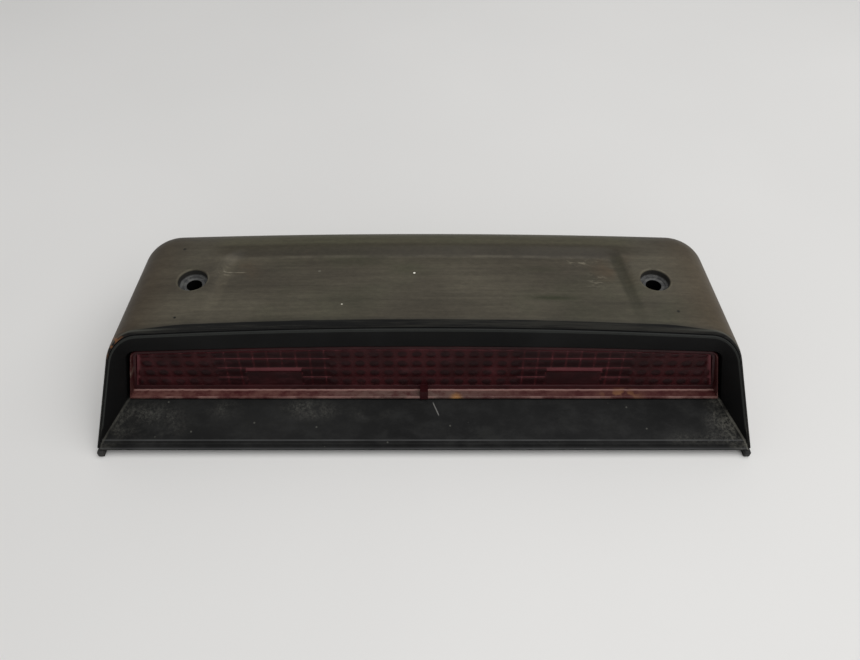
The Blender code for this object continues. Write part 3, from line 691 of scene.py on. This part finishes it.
def hood_dish_light_shade_and_tint(p, colour):
    """Painted highlight on the dish's left slope, painted shade on its right slope and a painted shadow
    strip behind, with an olive tint and a faint crease line.
    """
    y = p.axis("Y")
    along = p.times(p.ramp(y, 27, 56), p.ramp(y, 79, 73))
    # Painted highlight on the left slope and painted shade on the right slope, as light from the right
    # would fall on them.
    for side, strength, tint in ((-1, 0.16, "#6a6353"), (1, 0.6, "#2b2a1e")):
        outward = p.math("ADD", p.times(p.axis("X"), side), p.times(y, 0.121))
        colour = p.cover(colour, p.times(p.band(outward, 94.5, 3.4), along), strength, tint)
    across = p.ramp(p.aside(), 100, 85)
    colour = p.cover(colour, p.times(p.ramp(y, 73.5, 79.0), across), 0.35, "#4b4934")
    # Painted shadow strip along the dish's back slope.
    colour = p.cover(colour, p.times(p.band(y, 77.4, 4.2), across), 0.6, "#2a241c")
    crease = p.times(p.band(y, 74.2, 0.8), p.ramp(p.noise(70, 3, (1, 0.2, 0.2)), 0.40, 0.65))
    return p.cover(colour, p.times(crease, across), 0.14, "#7d7666")


def hood_marks(p, colour, streaks):
    """Olive streaks, scuffs, fine scratches, grain, specks and a few flecks on the top."""
    streaky = p.ramp(streaks, 0.36, 0.56)
    for centre, size, strength in OLIVE_STREAKS:
        colour = p.cover(colour, p.times(p.blob(centre, size), streaky), strength, "#2a2d1c")
    scuffs = p.ramp(p.noise(300, 6, (0.5, 1.4, 1), roughness=0.8), 0.50, 0.66)
    for centre, size in SCUFFS:
        colour = p.cover(colour, p.times(scuffs, p.blob(centre, size)), 0.6, "#857e6e")
    scratches = p.ramp(p.noise(330, 3, (0.16, 1.5, 1), shift=(0, 0, 3)), 0.60, 0.66)
    colour = p.cover(colour, p.times(scratches, p.blob((-84, 62, 48), (8, 9, 12))), 0.8, "#a39d8b")
    fine = p.noise(700, 4, (0.5, 1, 1), roughness=0.75)
    colour = p.shade(colour, p.ramp(fine, 0.3, 0.7), 0.88, 1.12)
    colour = p.cover(colour, p.specks(110, 0.09, 0.04), 0.85, "#bdb8aa")
    colour = p.cover(colour, p.specks(75, 0.08, 0.09), 0.85, "#12100d")
    for centre, size, tint in FLECKS:
        colour = p.mix(p.blob(centre, size, 0.4), colour, tint)
    return colour


def hood_bores(p, colour):
    """Greyer, sheltered plastic in the two counterbores and worn rims, with the screw holes painted
    near-black as painted shade.
    """
    z = p.axis("Z")
    for side in SIDES:
        centre = (side * SCREW_X, SCREW_Y, SEAT_Z)
        rim = p.times(p.disc(centre, COUNTERBORE_R + 1.2, 0.08), p.ramp(p.noise(160, 3), 0.35, 0.6))
        colour = p.cover(colour, rim, 0.28, "#6f6a59")
        below_rim = p.ramp(z, SEAT_Z + 3.2, SEAT_Z + 2.6)
        inside = p.times(p.disc(centre, COUNTERBORE_R + 0.3, 0.06), below_rim)
        colour = p.mix(inside, colour, "#262626")
        grime = p.mix(p.ramp(p.noise(420, 4), 0.4, 0.65), "#454545", "#5a5a58")
        colour = p.mix(p.times(inside, p.ramp(z, SEAT_Z + 0.8, SEAT_Z + 0.2)), colour, grime)
        # Painted shade: the screw holes' walls painted near-black.
        hole = p.times(p.disc(centre, SCREW_HOLE_R + 0.25, 0.04), p.ramp(z, SEAT_Z - 0.1, SEAT_Z - 0.4))
        colour = p.mix(hole, colour, "#060606")
    return colour


def hood_lip(p, colour, streaks):
    """The black front lip: a band that narrows round the corners, darkening towards it, with a painted
    highlight along its outer edge.

    Returns the colour and how much each place belongs to the band.
    """
    behind = p.behind_front()
    corner = p.ramp(p.aside(), 95, 128)
    width = p.range(corner, 2.2, 0.3)
    ragged = p.math("SUBTRACT", behind, p.range(p.noise(140, 3, (0.4, 1, 1)), -0.3, 0.3))
    past = p.math("SUBTRACT", ragged, width)
    colour = p.cover(colour, p.ramp(past, 2.2, 0.0), 0.4, "#24231f")
    streaky = p.mix(p.ramp(streaks, 0.42, 0.62), "#090909", "#24231f")
    lip = p.ramp(past, 0.3, -0.1)
    colour = p.mix(lip, colour, streaky)
    # Painted highlight along the hood's outer front edge, stronger round the corners.
    edge_highlight = p.times(p.band(behind, 0.6, 0.4), p.range(corner, 0.0, 0.45))
    return p.mix(edge_highlight, colour, "#5b5c54"), lip


# Dust on the bezel's floor, as (centre, half sizes, strength); painted highlight lines along its lip's
# edges and bead, as (y, half, strength)
DUST_PATCHES = (((-118, 13, 8), (22, 12, 10), 0.42), ((-87, 18, 9), (12, 6, 8), 0.22),
                ((-50, 18, 9), (18, 7, 8), 0.42), ((-24, 17, 9), (14, 6, 8), 0.2),
                ((128, 13, 9), (10, 12, 12), 0.4), ((118, 6, 5), (24, 5, 5), 0.3))
LIP_HIGHLIGHTS = ((4.7, 0.28, 0.6), (3.3, 0.12, 0.3), (1.75, 0.36, 0.45))


def bezel_paint():
    """Satin black plastic, dusty on its floor and dirty in its right corner, with painted highlights
    along its front edge and its lip.
    """
    p = Paint("bezel_black", specular=0.10)
    x, y, z, up = p.axis("X"), p.axis("Y"), p.axis("Z"), p.facing_up()
    colour = p.mix(p.ramp(p.noise(35, 3), 0.35, 0.7), "#0d0d0d", "#151515")
    floor = p.times(p.ramp(z, 16, 9), up)
    film = p.ramp(p.noise(90, 6, (0.8, 1.3, 1), roughness=0.75), 0.40, 0.70)
    colour = p.cover(colour, p.times(film, floor), 0.35, "#333332")
    colour = p.cover(colour, p.times(p.blob((-70, 15, 8), (85, 22, 20)), floor), 0.3, "#323231")
    grains = p.ramp(p.noise(760, 6, roughness=0.85), 0.38, 0.68)
    clumps = p.ramp(p.noise(110, 3, shift=(0, 2, 0)), 0.32, 0.58)
    for centre, size, strength in DUST_PATCHES:
        patch = p.times(p.blob(centre, size), clumps, grains, up)
        colour = p.cover(colour, patch, strength, "#74726b")
    colour = p.cover(colour, p.times(p.specks(260, 0.14, 0.10), up), 0.4, "#6c6b64")
    scratch = p.band(p.math("ADD", p.times(x, 2.2), y), 29.5, 0.8)
    scratch = p.times(scratch, p.blob((5.1, 18, 9), (2.2, 4.4, 8), 0.3), up)
    colour = p.cover(colour, scratch, 0.6, "#8b8a86")
    # Painted highlight lines along the lip's front edge, bead and rim, broken by noise.
    lip = p.times(p.ramp(z, 7.2, 6.6), p.range(p.noise(60, 3, (1, 0.2, 0.2)), 0.3, 1.1))
    for line_y, half, strength in LIP_HIGHLIGHTS:
        colour = p.cover(colour, p.times(lip, p.band(y, line_y, half)), strength, "#5f6060")
    # Painted highlight along the bezel's front edge.
    edge = p.times(p.ramp(p.behind_front(), -0.15, -0.3), p.ramp(z, 10, 14))
    colour = p.cover(colour, edge, 0.2, "#5d605c")
    creased = p.ramp(p.noise(150, 4), 0.35, 0.55)
    for side, strength in ((-1, 0.2), (1, 0.6)):
        outward = p.math("ADD", p.times(x, side), p.times(y, 0.46))
        crease = p.times(p.band(outward, 139.5, 0.8), creased)
        beside = p.times(p.ramp(outward, 129.0, 138.5), grains, clumps)
        for share in (crease, beside):
            colour = p.cover(colour, p.times(share, floor), strength, "#75736a")
    roughness = p.range(p.noise(80, 4, shift=(5, 0, 0)), 0.42, 0.60)
    return p.surface(colour, roughness, p.noise(1300, 2), 0.16, 0.05)


# Glue and grit on the lens, as (centre, half sizes, colour)
LENS_CRUMBS = (((86, 23, 12), (13, 6, 4), "#8d6547"), ((14, 22, 12), (4, 4, 3), "#b0804c"),
               ((-126, 26, 30), (3, 6, 8), "#8c8478"))


def lens_paint(name, optics):
    """Dark red acrylic, dull with age: the optics' pillows and ribs, or the cover and its ledge."""
    p = Paint(name, specular=0.12 if optics else 0.22)
    deep = p.mix(p.ramp(p.noise(60, 3), 0.35, 0.7), "#270a0c", "#361114")
    colour = optics_colour(p, deep) if optics else ledge_colour(p, deep)
    haze = p.ramp(p.noise(150, 5, (0.5, 1.2, 1), roughness=0.7), 0.5, 0.8)
    colour = p.cover(colour, haze, 0.22, "#603539")
    return p.surface(colour, p.range(p.noise(90, 3), 0.26, 0.5), p.noise(700, 2), 0.08, 0.04)


def optics_colour(p, deep):
    """Darker where the optics stand up, and hazy red between them."""
    relief = p.attribute("relief")
    uneven = p.times(relief, p.range(p.noise(190, 3, shift=(0, 6, 0)), 0.55, 1.3))
    colour = p.mix(p.ramp(uneven, 0.42, 1.0), deep, "#1d090b")
    ribs = p.times(p.ramp(relief, 0.30, 0.0), p.ramp(p.noise(120, 4, shift=(2, 0, 5)), 0.2, 0.6))
    return p.cover(colour, ribs, 0.75, "#643539")


def ledge_colour(p, colour):
    """Pale dirt on the ledge along the lens's foot, with painted highlights along its top edge and,
    broken, along its front edge.
    """
    beside_tab = p.ramp(p.aside(), LENS_TAB, LENS_TAB + 0.15)
    dirt = p.noise(210, 6, (0.8, 1, 1), roughness=0.78)
    grime = p.mix(p.ramp(dirt, 0.35, 0.66), "#451f20", "#684640")
    middle = p.times(p.blob((0, 24, 12), (70, 40, 40)), p.ramp(dirt, 0.3, 0.6))
    grime = p.cover(grime, middle, 0.6, "#6b5d56")
    grime = p.cover(grime, p.ramp(p.axis("X"), 0, 50), 0.35, "#401c1c")
    colour = p.mix(p.times(p.attribute("ledge"), beside_tab), colour, grime)
    height, depth = p.lamp_axes()
    # Painted highlight along the ledge's top edge.
    wavy = p.math("ADD", height, p.range(p.noise(420, 3, (1, 0.3, 0.3)), -0.25, 0.25))
    edge_highlight = p.times(p.band(wavy, -1.50, 0.28), p.ramp(depth, -1.2, -0.2))
    # Broken painted highlight along the ledge's front edge.
    highlight_breaks = p.ramp(p.noise(90, 4, shift=(7, 0, 0)), 0.46, 0.6)
    front_edge_highlight = p.times(p.ramp(depth, -3.3, -3.6), highlight_breaks)
    for share, strength in ((edge_highlight, 0.65), (front_edge_highlight, 0.4)):
        colour = p.cover(colour, p.times(share, beside_tab), strength, "#a5827a")
    crumbs = p.ramp(p.noise(230, 4), 0.42, 0.55)
    for centre, size, tint in LENS_CRUMBS:
        colour = p.mix(p.times(p.blob(centre, size), crumbs), colour, tint)
    return colour


def moulded_paint(name, dark, light, roughness, grain=900, dusty=0.12):
    """Moulded plastic or rubber: a slightly uneven colour, fine grain and a little dust."""
    p = Paint(name)
    colour = p.mix(p.ramp(p.noise(45, 4), 0.35, 0.7), dark, light)
    film = p.ramp(p.noise(140, 4, roughness=0.7), 0.52, 0.75)
    colour = p.cover(colour, film, dusty, "#6a675f")
    rough = p.range(p.noise(70, 3), roughness - 0.08, roughness + 0.1)
    return p.surface(colour, rough, p.noise(grain, 2), 0.2, 0.05)


def metal_paint(name, dark, light, roughness, tarnish, spotted=0.3):
    """Metal with a slightly uneven colour and gloss, and spots of tarnish."""
    p = Paint(name, metallic=1.0)
    colour = p.mix(p.ramp(p.noise(160, 4), 0.35, 0.7), dark, light)
    spots = p.ramp(p.noise(260, 4, roughness=0.7), 0.58, 0.7)
    colour = p.cover(colour, spots, spotted, tarnish)
    rough = p.range(p.noise(300, 3), roughness - 0.05, roughness + 0.12)
    return p.surface(colour, rough, p.noise(900, 2), 0.06, 0.03)


def glass_paint():
    p = Paint("bulb_clear_glass", roughness=0.03)
    p.shader.inputs["Transmission Weight"].default_value = 1.0
    p.shader.inputs["IOR"].default_value = 1.5
    return p.surface(p.mix(p.ramp(p.noise(120, 2), 0.4, 0.8), "#f6f9f9", "#e6ecec"))


# -------- hood
def screw_cutter(side, paint):
    """The counterbore and screw hole, with a rim that follows the crowned top."""
    hole, bore = SCREW_HOLE_R, COUNTERBORE_R
    above_seat = (
        (hole, -5.0 - SEAT_Z), (hole, -0.5), (hole + 0.15, -0.18), (hole + 0.45, 0.0), (4.55, 0.0),
        (4.7, -0.3), (5.05, -0.3), (5.2, 0.0), (bore - 0.5, 0.0), (bore - 0.12, 0.14), (bore, 0.5))
    above_top = (
        (bore, -0.75), (bore + 0.1, -0.38), (bore + 0.32, -0.12), (bore + 0.75, 0.02), (bore + 1.5, 0.8))
    rings = []
    for profile, on_top in ((above_seat, False), (above_top, True)):
        for radius, rise in profile:
            ring = []
            for k in range(CUTTER_STEPS):
                turn = 2 * math.pi * k / CUTTER_STEPS
                x = side * SCREW_X + radius * math.cos(turn)
                y = SCREW_Y + radius * math.sin(turn)
                ring.append((x, y, rise + (top_height(x, y) if on_top else SEAT_Z)))
            rings.append(ring)
    return add_piece(f"cutter_{side}", *loft(rings, caps=True), paint, None)


def make_hood(paint):
    hood = add_piece("hood_shell", *hood_shell_mesh(), paint, ROOT, ("hood",))
    works, cutters = [], [screw_cutter(side, paint) for side in SIDES]
    for side in SIDES:
        x, hook = side * SCREW_X, side * HOOK_X
        boss = TO_FRAME @ Matrix.Translation((x, SCREW_Y, 0))
        profile = [(0, 0), (BOSS_R, 0), (BOSS_R, TOP_Z), (0, TOP_Z)]
        works.append(helper(*lathe(profile, 64), place=boss))
        low_x, high_x = sorted((x, side * HALF_WIDTH))
        slot_wide, slot_high = LEAD_SLOT_HALF
        works += [
            block((x - RIB_HALF, SCREW_Y, RIB_FOOT_Z), (x + RIB_HALF, REAR_Y, TOP_Z)),
            block((low_x, SCREW_Y - RIB_HALF, RIB_FOOT_Z), (high_x, SCREW_Y + RIB_HALF, TOP_Z)),
            block((hook - HOOK_HALF, HOOK_FRONT_Y, HOOK_Z[0]), (hook + HOOK_HALF, REAR_Y, HOOK_Z[1])),
        ]
        cutters.append(block((hook - slot_wide, LEAD_SLOT_Y[0], LEAD_Z - slot_high),
                             (hook + slot_wide, LEAD_SLOT_Y[1], LEAD_Z + slot_high)))
    shelf_y = HEADER_BACK_Y + GAP
    works.append(block((-SHELF_HALF, shelf_y, SHELF_Z[0]), (SHELF_HALF, REAR_Y, SHELF_Z[1])))
    inner = combine(works[0], works[1:], "UNION")
    inner = combine(inner, [helper(*dome_mesh(WALL / 2))], "INTERSECT")
    combine(hood, [inner], "UNION")
    combine(hood, cutters, "DIFFERENCE")
    finish_edges(hood)
    mark_inside(hood)


def mark_inside(hood):
    """Stores which points are on the hood's sheltered inner side, with its bosses and ribs."""
    to_hood, middle = TO_FRAME.inverted(), Vector((0, 50, -100))
    values = []
    for vertex in hood.data.vertices:
        place = to_hood @ vertex.co
        x, y, z = place
        bore = math.hypot(abs(x) - SCREW_X, y - SCREW_Y) < COUNTERBORE_R + 1.8 and z > SEAT_Z - 1.5
        inward = vertex.normal.dot(place - middle) < 0
        deep = abs(x) < 115 and 30 < y < 86 and z < 38
        values.append(float(not bore and (inward or deep)))
    store(hood, "inside", values)


# -------- bezel and lens
def lip_bead(front, rim):
    """A fine raised bead along the bezel's lip, between its front edge and its rim."""
    rings, outward = [], Vector((0, -0.5, 0.85))
    for share, lift in ((0.42, 0.0), (0.5, 0.28), (0.62, 0.34), (0.72, 0.0)):
        rings.append([Vector(mix(a, b, share)) + outward * lift for a, b in zip(front, rim)])
    return rings


def make_bezel(paint):
    front = arch_ring(LIP_WALL + GAP, BASE_Z, 1.1, -0.5)
    rim = arch_ring(LIP_WALL + GAP + 0.6, 6.0, 4.7, -0.55)
    back = arch_ring(LIP_WALL + GAP, BASE_Z, 5.2, 2.6)
    flange = arch_ring(WALL + GAP + 0.2, BASE_Z + 0.8, 5.6, 2.7)
    sleeve = [lens_ring(2.4, -4.3, 2.0, 4.8, -3.3, -1.5), lens_ring(2.4, -4.3, 2.0, 4.8, 5.4, 5.4),
              lens_ring(3.6, -5.8, 3.4, 6.0, 5.4, 5.4), lens_ring(3.7, -5.9, 3.5, 6.0, -1.2, 0.6)]
    rings = [front, rim, *sleeve, flange, back]
    loop = rounded_loop(rings, (0.35, 0.45, 0.4, 0.3, 0.3, 0, 0, 0.2))
    after_front = ROUND_STEPS + 1
    loop[after_front:after_front] = lip_bead(front, rim)
    bezel = add_piece("bezel_frame", *loft(loop, closed=True), paint, ROOT, ("bezel",))
    bosses, pilots = [], []
    for x, v in LAMP_SCREWS:
        axis = LAMP_TO_FRAME @ Matrix.Translation((x, 0, v)) @ Matrix.Rotation(-math.pi / 2, 4, "X")
        root, far, radius = (-0.6 if v > 0 else -5.5), BODY_FRONT - GAP, LAMP_BOSS_R
        boss = [(0, root), (radius, root), (radius, far - 0.3), (radius - 0.3, far), (0, far)]
        pilot = [(0, 1.5), (PILOT_R, 1.5), (PILOT_R, far + 4), (0, far + 4)]
        bosses.append(helper(*lathe(boss, 40), place=axis))
        pilots.append(helper(*lathe(pilot, 32), place=axis))
    combine(bezel, bosses, "UNION")
    combine(bezel, pilots, "DIFFERENCE")
    finish_edges(bezel)


def make_lens(paint):
    rings = [
        lens_ring(-PANEL_INSET - 0.2, PANEL_INSET, -PANEL_INSET, 2.4, PANEL_SINK, PANEL_SINK),
        lens_ring(-PANEL_INSET, PANEL_INSET - 0.2, 0.2 - PANEL_INSET, 2.4, 0.05, 0.05),
        lens_ring(0.06, -1.5, 0.06, 3.0, 0.0, 0.0),
        lens_ring(0.5, -2.4, 0.4, 3.5, -3.9, -0.8),
        lens_ring(1.1, -3.7, 1.2, 4.0, -3.6, -0.5),
        lens_ring(1.1, -3.7, 1.2, 4.0, 6.0, 6.0),
        lens_ring(3.6, -6.0, 3.0, 5.5, 6.0, 6.0),
        lens_ring(3.6, -6.0, 3.0, 5.5, 8.0, 8.0),
        lens_ring(-0.8, -1.9, -0.7, 3.0, 8.0, 8.0),
        lens_ring(-0.8, -1.9, -0.7, 3.0, 2.6, 2.6),
    ]
    softened = [rings[0]]
    for k, radius in enumerate((0.25, 0.3, 0.45, 0.35, 0, 0.3, 0.3, 0, 0), start=1):
        softened += rounded(rings[k - 1], rings[k], rings[k + 1], radius) if radius else [rings[k]]
    lens = add_piece("lens_cover", *loft(softened, caps=True), paint, ROOT, ("lens",))
    combine(lens, [block((-LENS_TAB, -4.2, -3.4), (LENS_TAB, 0.8, 1.0), LAMP_TO_FRAME)], "UNION")
    finish_edges(lens)
    mark_ledge(lens)


def mark_ledge(lens):
    """Stores how much each point of the lens belongs to the dirty ledge along its foot and ends."""
    to_lamp = LAMP_TO_FRAME.inverted()
    values = []
    for vertex in lens.data.vertices:
        x, depth, v = to_lamp @ vertex.co
        foot = ease((-0.6 - v) / 0.3) * ease((-0.04 - depth) / 0.2)
        past_side = abs(x) + math.tan(LENS_DRAFT) * v - LENS_SIDE
        end = 0.45 * ease((past_side + 0.1) / 0.4) * ease(-depth / 0.4)
        values.append(max(foot, end))
    store(lens, "ledge", values)


def optic_cell(x, v):
    """Height above the panel and darkness of the lens optics, for a place on the lens face."""
    row, across, distance = (v - CELL_BASE) / CELL_HIGH, x / CELL_WIDE, abs(x)
    a, b = across - math.floor(across) - 0.5, row - math.floor(row) - 0.5
    edge_a, edge_b = 1 - abs(2 * a) ** 4, 1 - abs(2 * b) ** 4
    if WINDOW_X[0] < distance < WINDOW_X[1] and 0 <= row < WINDOW_ROWS:
        shelf = ease((row - (WINDOW_ROWS - 0.42)) / 0.1)
        side = ease(min(distance - WINDOW_X[0], WINDOW_X[1] - distance) / 0.5)
        height = OPTIC_FLOOR + SHELF_RISE * shelf * ease((WINDOW_ROWS - row) / 0.1)
        return height, 0.85 * side * ease(row / 0.12) * (1 - shelf)
    if FIELD_X[0] < distance < FIELD_X[1]:
        # Ribbed cells: each leans forward to a crest along its top.
        crest = ease((b + 0.5) / 0.82) * ease((0.5 - b) / 0.08)
        height = OPTIC_FLOOR + RIB_RISE * crest * (0.55 + 0.45 * edge_a)
        return height, min(edge_a * 1.6, 1.0) * ease((b + 0.5) / 0.1) * ease((0.5 - b) / 0.16)
    inside = max(0.0, 1 - (2.15 * a) ** 2 - (2.3 * b) ** 2)
    height = OPTIC_FLOOR + PILLOW_RISE * edge_a * edge_b * (0.35 + 0.65 * inside)
    return height, 0.3 + 0.7 * ease(inside / 0.75)


def make_optics(paint):
    """The lens face's moulded optics, as one closed panel that fills the recess in the lens."""
    columns, rows, tall = PANEL_COLUMNS, PANEL_ROWS, LENS_HEIGHT - 2 * PANEL_INSET
    front, back, relief = [], [], []
    for i in range(rows + 1):
        for j in range(columns + 1):
            v = PANEL_INSET + tall * i / rows
            x = (2 * j / columns - 1) * (LENS_SIDE - PANEL_INSET - math.tan(LENS_DRAFT) * v)
            v = max(v * (lens_top(x) - 2 * PANEL_INSET) / tall, PANEL_INSET)
            height, dark = optic_cell(x, v)
            border = ease(min(i, rows - i, j / 3, (columns - j) / 3) / 1.5)
            front.append(to_hood_frame(x, PANEL_FRONT - height * border, v))
            back.append(to_hood_frame(x, PANEL_SINK + PANEL_OVERLAP, v))
            relief.append(dark * border)
    wide, count = columns + 1, len(front)
    faces = []
    for i in range(rows):
        for j in range(columns):
            a = i * wide + j
            faces.append((a, a + 1, a + wide + 1, a + wide))
            faces.append(tuple(count + k for k in (a, a + wide, a + wide + 1, a + 1)))
    edge = [*range(wide), *(i * wide + columns for i in range(1, rows + 1)),
            *(rows * wide + j for j in range(columns - 1, -1, -1)),
            *(i * wide for i in range(rows - 1, 0, -1))]
    for a, b in zip(edge, edge[1:] + edge[:1]):
        faces.append((a, b, count + b, count + a))
    panel = add_piece("lens_optics", front + back, faces, paint, ROOT, smooth_deg=PANEL_SMOOTH_DEG)
    store(panel, "relief", relief + [0.0] * len(back))


# -------- stage
def make_stage():
    """A plain pale floor, a white sky and two soft lights."""
    floor = Paint("pale_floor", roughness=0.6)
    floor.surface(floor.mix(floor.ramp(floor.noise(3, 3), 0.3, 0.8), "#e2e1df", "#e8e7e5"))
    bpy.ops.mesh.primitive_plane_add(size=FLOOR_SIZE)
    plane = bpy.context.object
    plane.name = "floor"
    plane.data.materials.append(floor.material)

    world = bpy.data.worlds.new("studio")
    bpy.context.scene.world = world
    world.use_nodes = True
    background = world.node_tree.nodes["Background"]
    background.inputs["Color"].default_value = (1.0, 1.0, 1.0, 1.0)
    background.inputs["Strength"].default_value = WORLD_STRENGTH
    for name, place, aim, size, power in LIGHTS:
        data = bpy.data.lights.new(name, "AREA")
        data.size = size
        data.energy = power
        light = add_object(name, data)
        light.location = place
        light.rotation_euler = (Vector(aim) - Vector(place)).to_track_quat("-Z", "Y").to_euler()


def make_camera():
    """The view, from in front and well above."""
    data = bpy.data.cameras.new("camera")
    data.sensor_width = SENSOR_MM
    data.lens = FOCAL_MM
    data.shift_x = SHIFT_X
    camera = add_object("camera", data)
    camera.location = TO_FRAME @ Vector(CAMERA_PLACE)
    camera.rotation_euler = (math.radians(90 - VIEW_DEG), 0, 0)
    bpy.context.scene.camera = camera
    bpy.context.scene.view_settings.view_transform = "Standard"


def main():
    make_camera()
    make_stage()
    black = moulded_paint("black_moulding", "#141516", "#1d1e1f", 0.5)
    rubber = moulded_paint("rubber_black", "#161616", "#222120", 0.75, grain=600, dusty=0.2)
    grey = moulded_paint("lamp_body_grey", "#77787a", "#87888a", 0.5, dusty=0.2)
    sheath = moulded_paint("lead_sheath_black", "#121212", "#1c1c1c", 0.55, grain=400)
    mirror = metal_paint("reflector_aluminised", "#d9dadd", "#e9eaec", 0.14, "#8d8b86", 0.12)
    steel = metal_paint("screw_zinc", "#9b9a96", "#bdbcb8", 0.34, "#6d5a45")
    wire = metal_paint("filament_wire", "#8f9094", "#b8b9bc", 0.3, "#5a5a5c")
    brass = metal_paint("contact_brass", "#b98f4a", "#cfa55c", 0.3, "#6e4f2a")
    glass = glass_paint()

    make_hood(hood_paint())
    make_bezel(bezel_paint())
    make_lens(lens_paint("lens_red_cover", False))
    make_optics(lens_paint("lens_red_optics", True))
    refined("lens_gasket", "lens_gasket_strip", rubber, ROOT, 0.1)
    refined("lamp_body", "lamp_body_tray", grey, ROOT, 0.35)
    refined("base_seal", "base_seal_strip", rubber, ROOT, 0.5)
    refined("connector_header", "connector_shroud", black, ROOT, 0.5)
    for number in range(1, len(LAMP_SCREWS) + 1):
        refined(f"lamp_screw_{number}", f"lamp_screw_{number}_shank", steel, ROOT, 0.15)
    for word, body in (("left", LEFT), ("right", RIGHT)):
        refined(f"reflector_{word}", f"reflector_bowl_{word}", mirror, ROOT, 0.0)
        refined(f"boss_seal_{word}", f"boss_washer_{word}", rubber, ROOT, 0.3)
        refined(f"connector_pin_{word}", f"connector_blade_{word}", brass, ROOT, 0.15)
        refined(f"lead_{word}", f"lead_sheath_{word}", sheath, ROOT, 0.0)
        refined(f"bulb_{word}", f"bulb_glass_{word}", glass, body, 0.0)
        refined(f"filament_{word}", f"filament_wire_{word}", wire, body, 0.0)
        refined(f"bulb_holder_{word}", f"bulb_holder_moulding_{word}", black, body, 0.3)
        refined(f"holder_seal_{word}", f"holder_ring_{word}", rubber, body, 0.2)
        for pole in ("live", "earth"):
            refined(f"contact_{pole}_{word}", f"contact_blade_{pole}_{word}", brass, body, 0.1)


main()
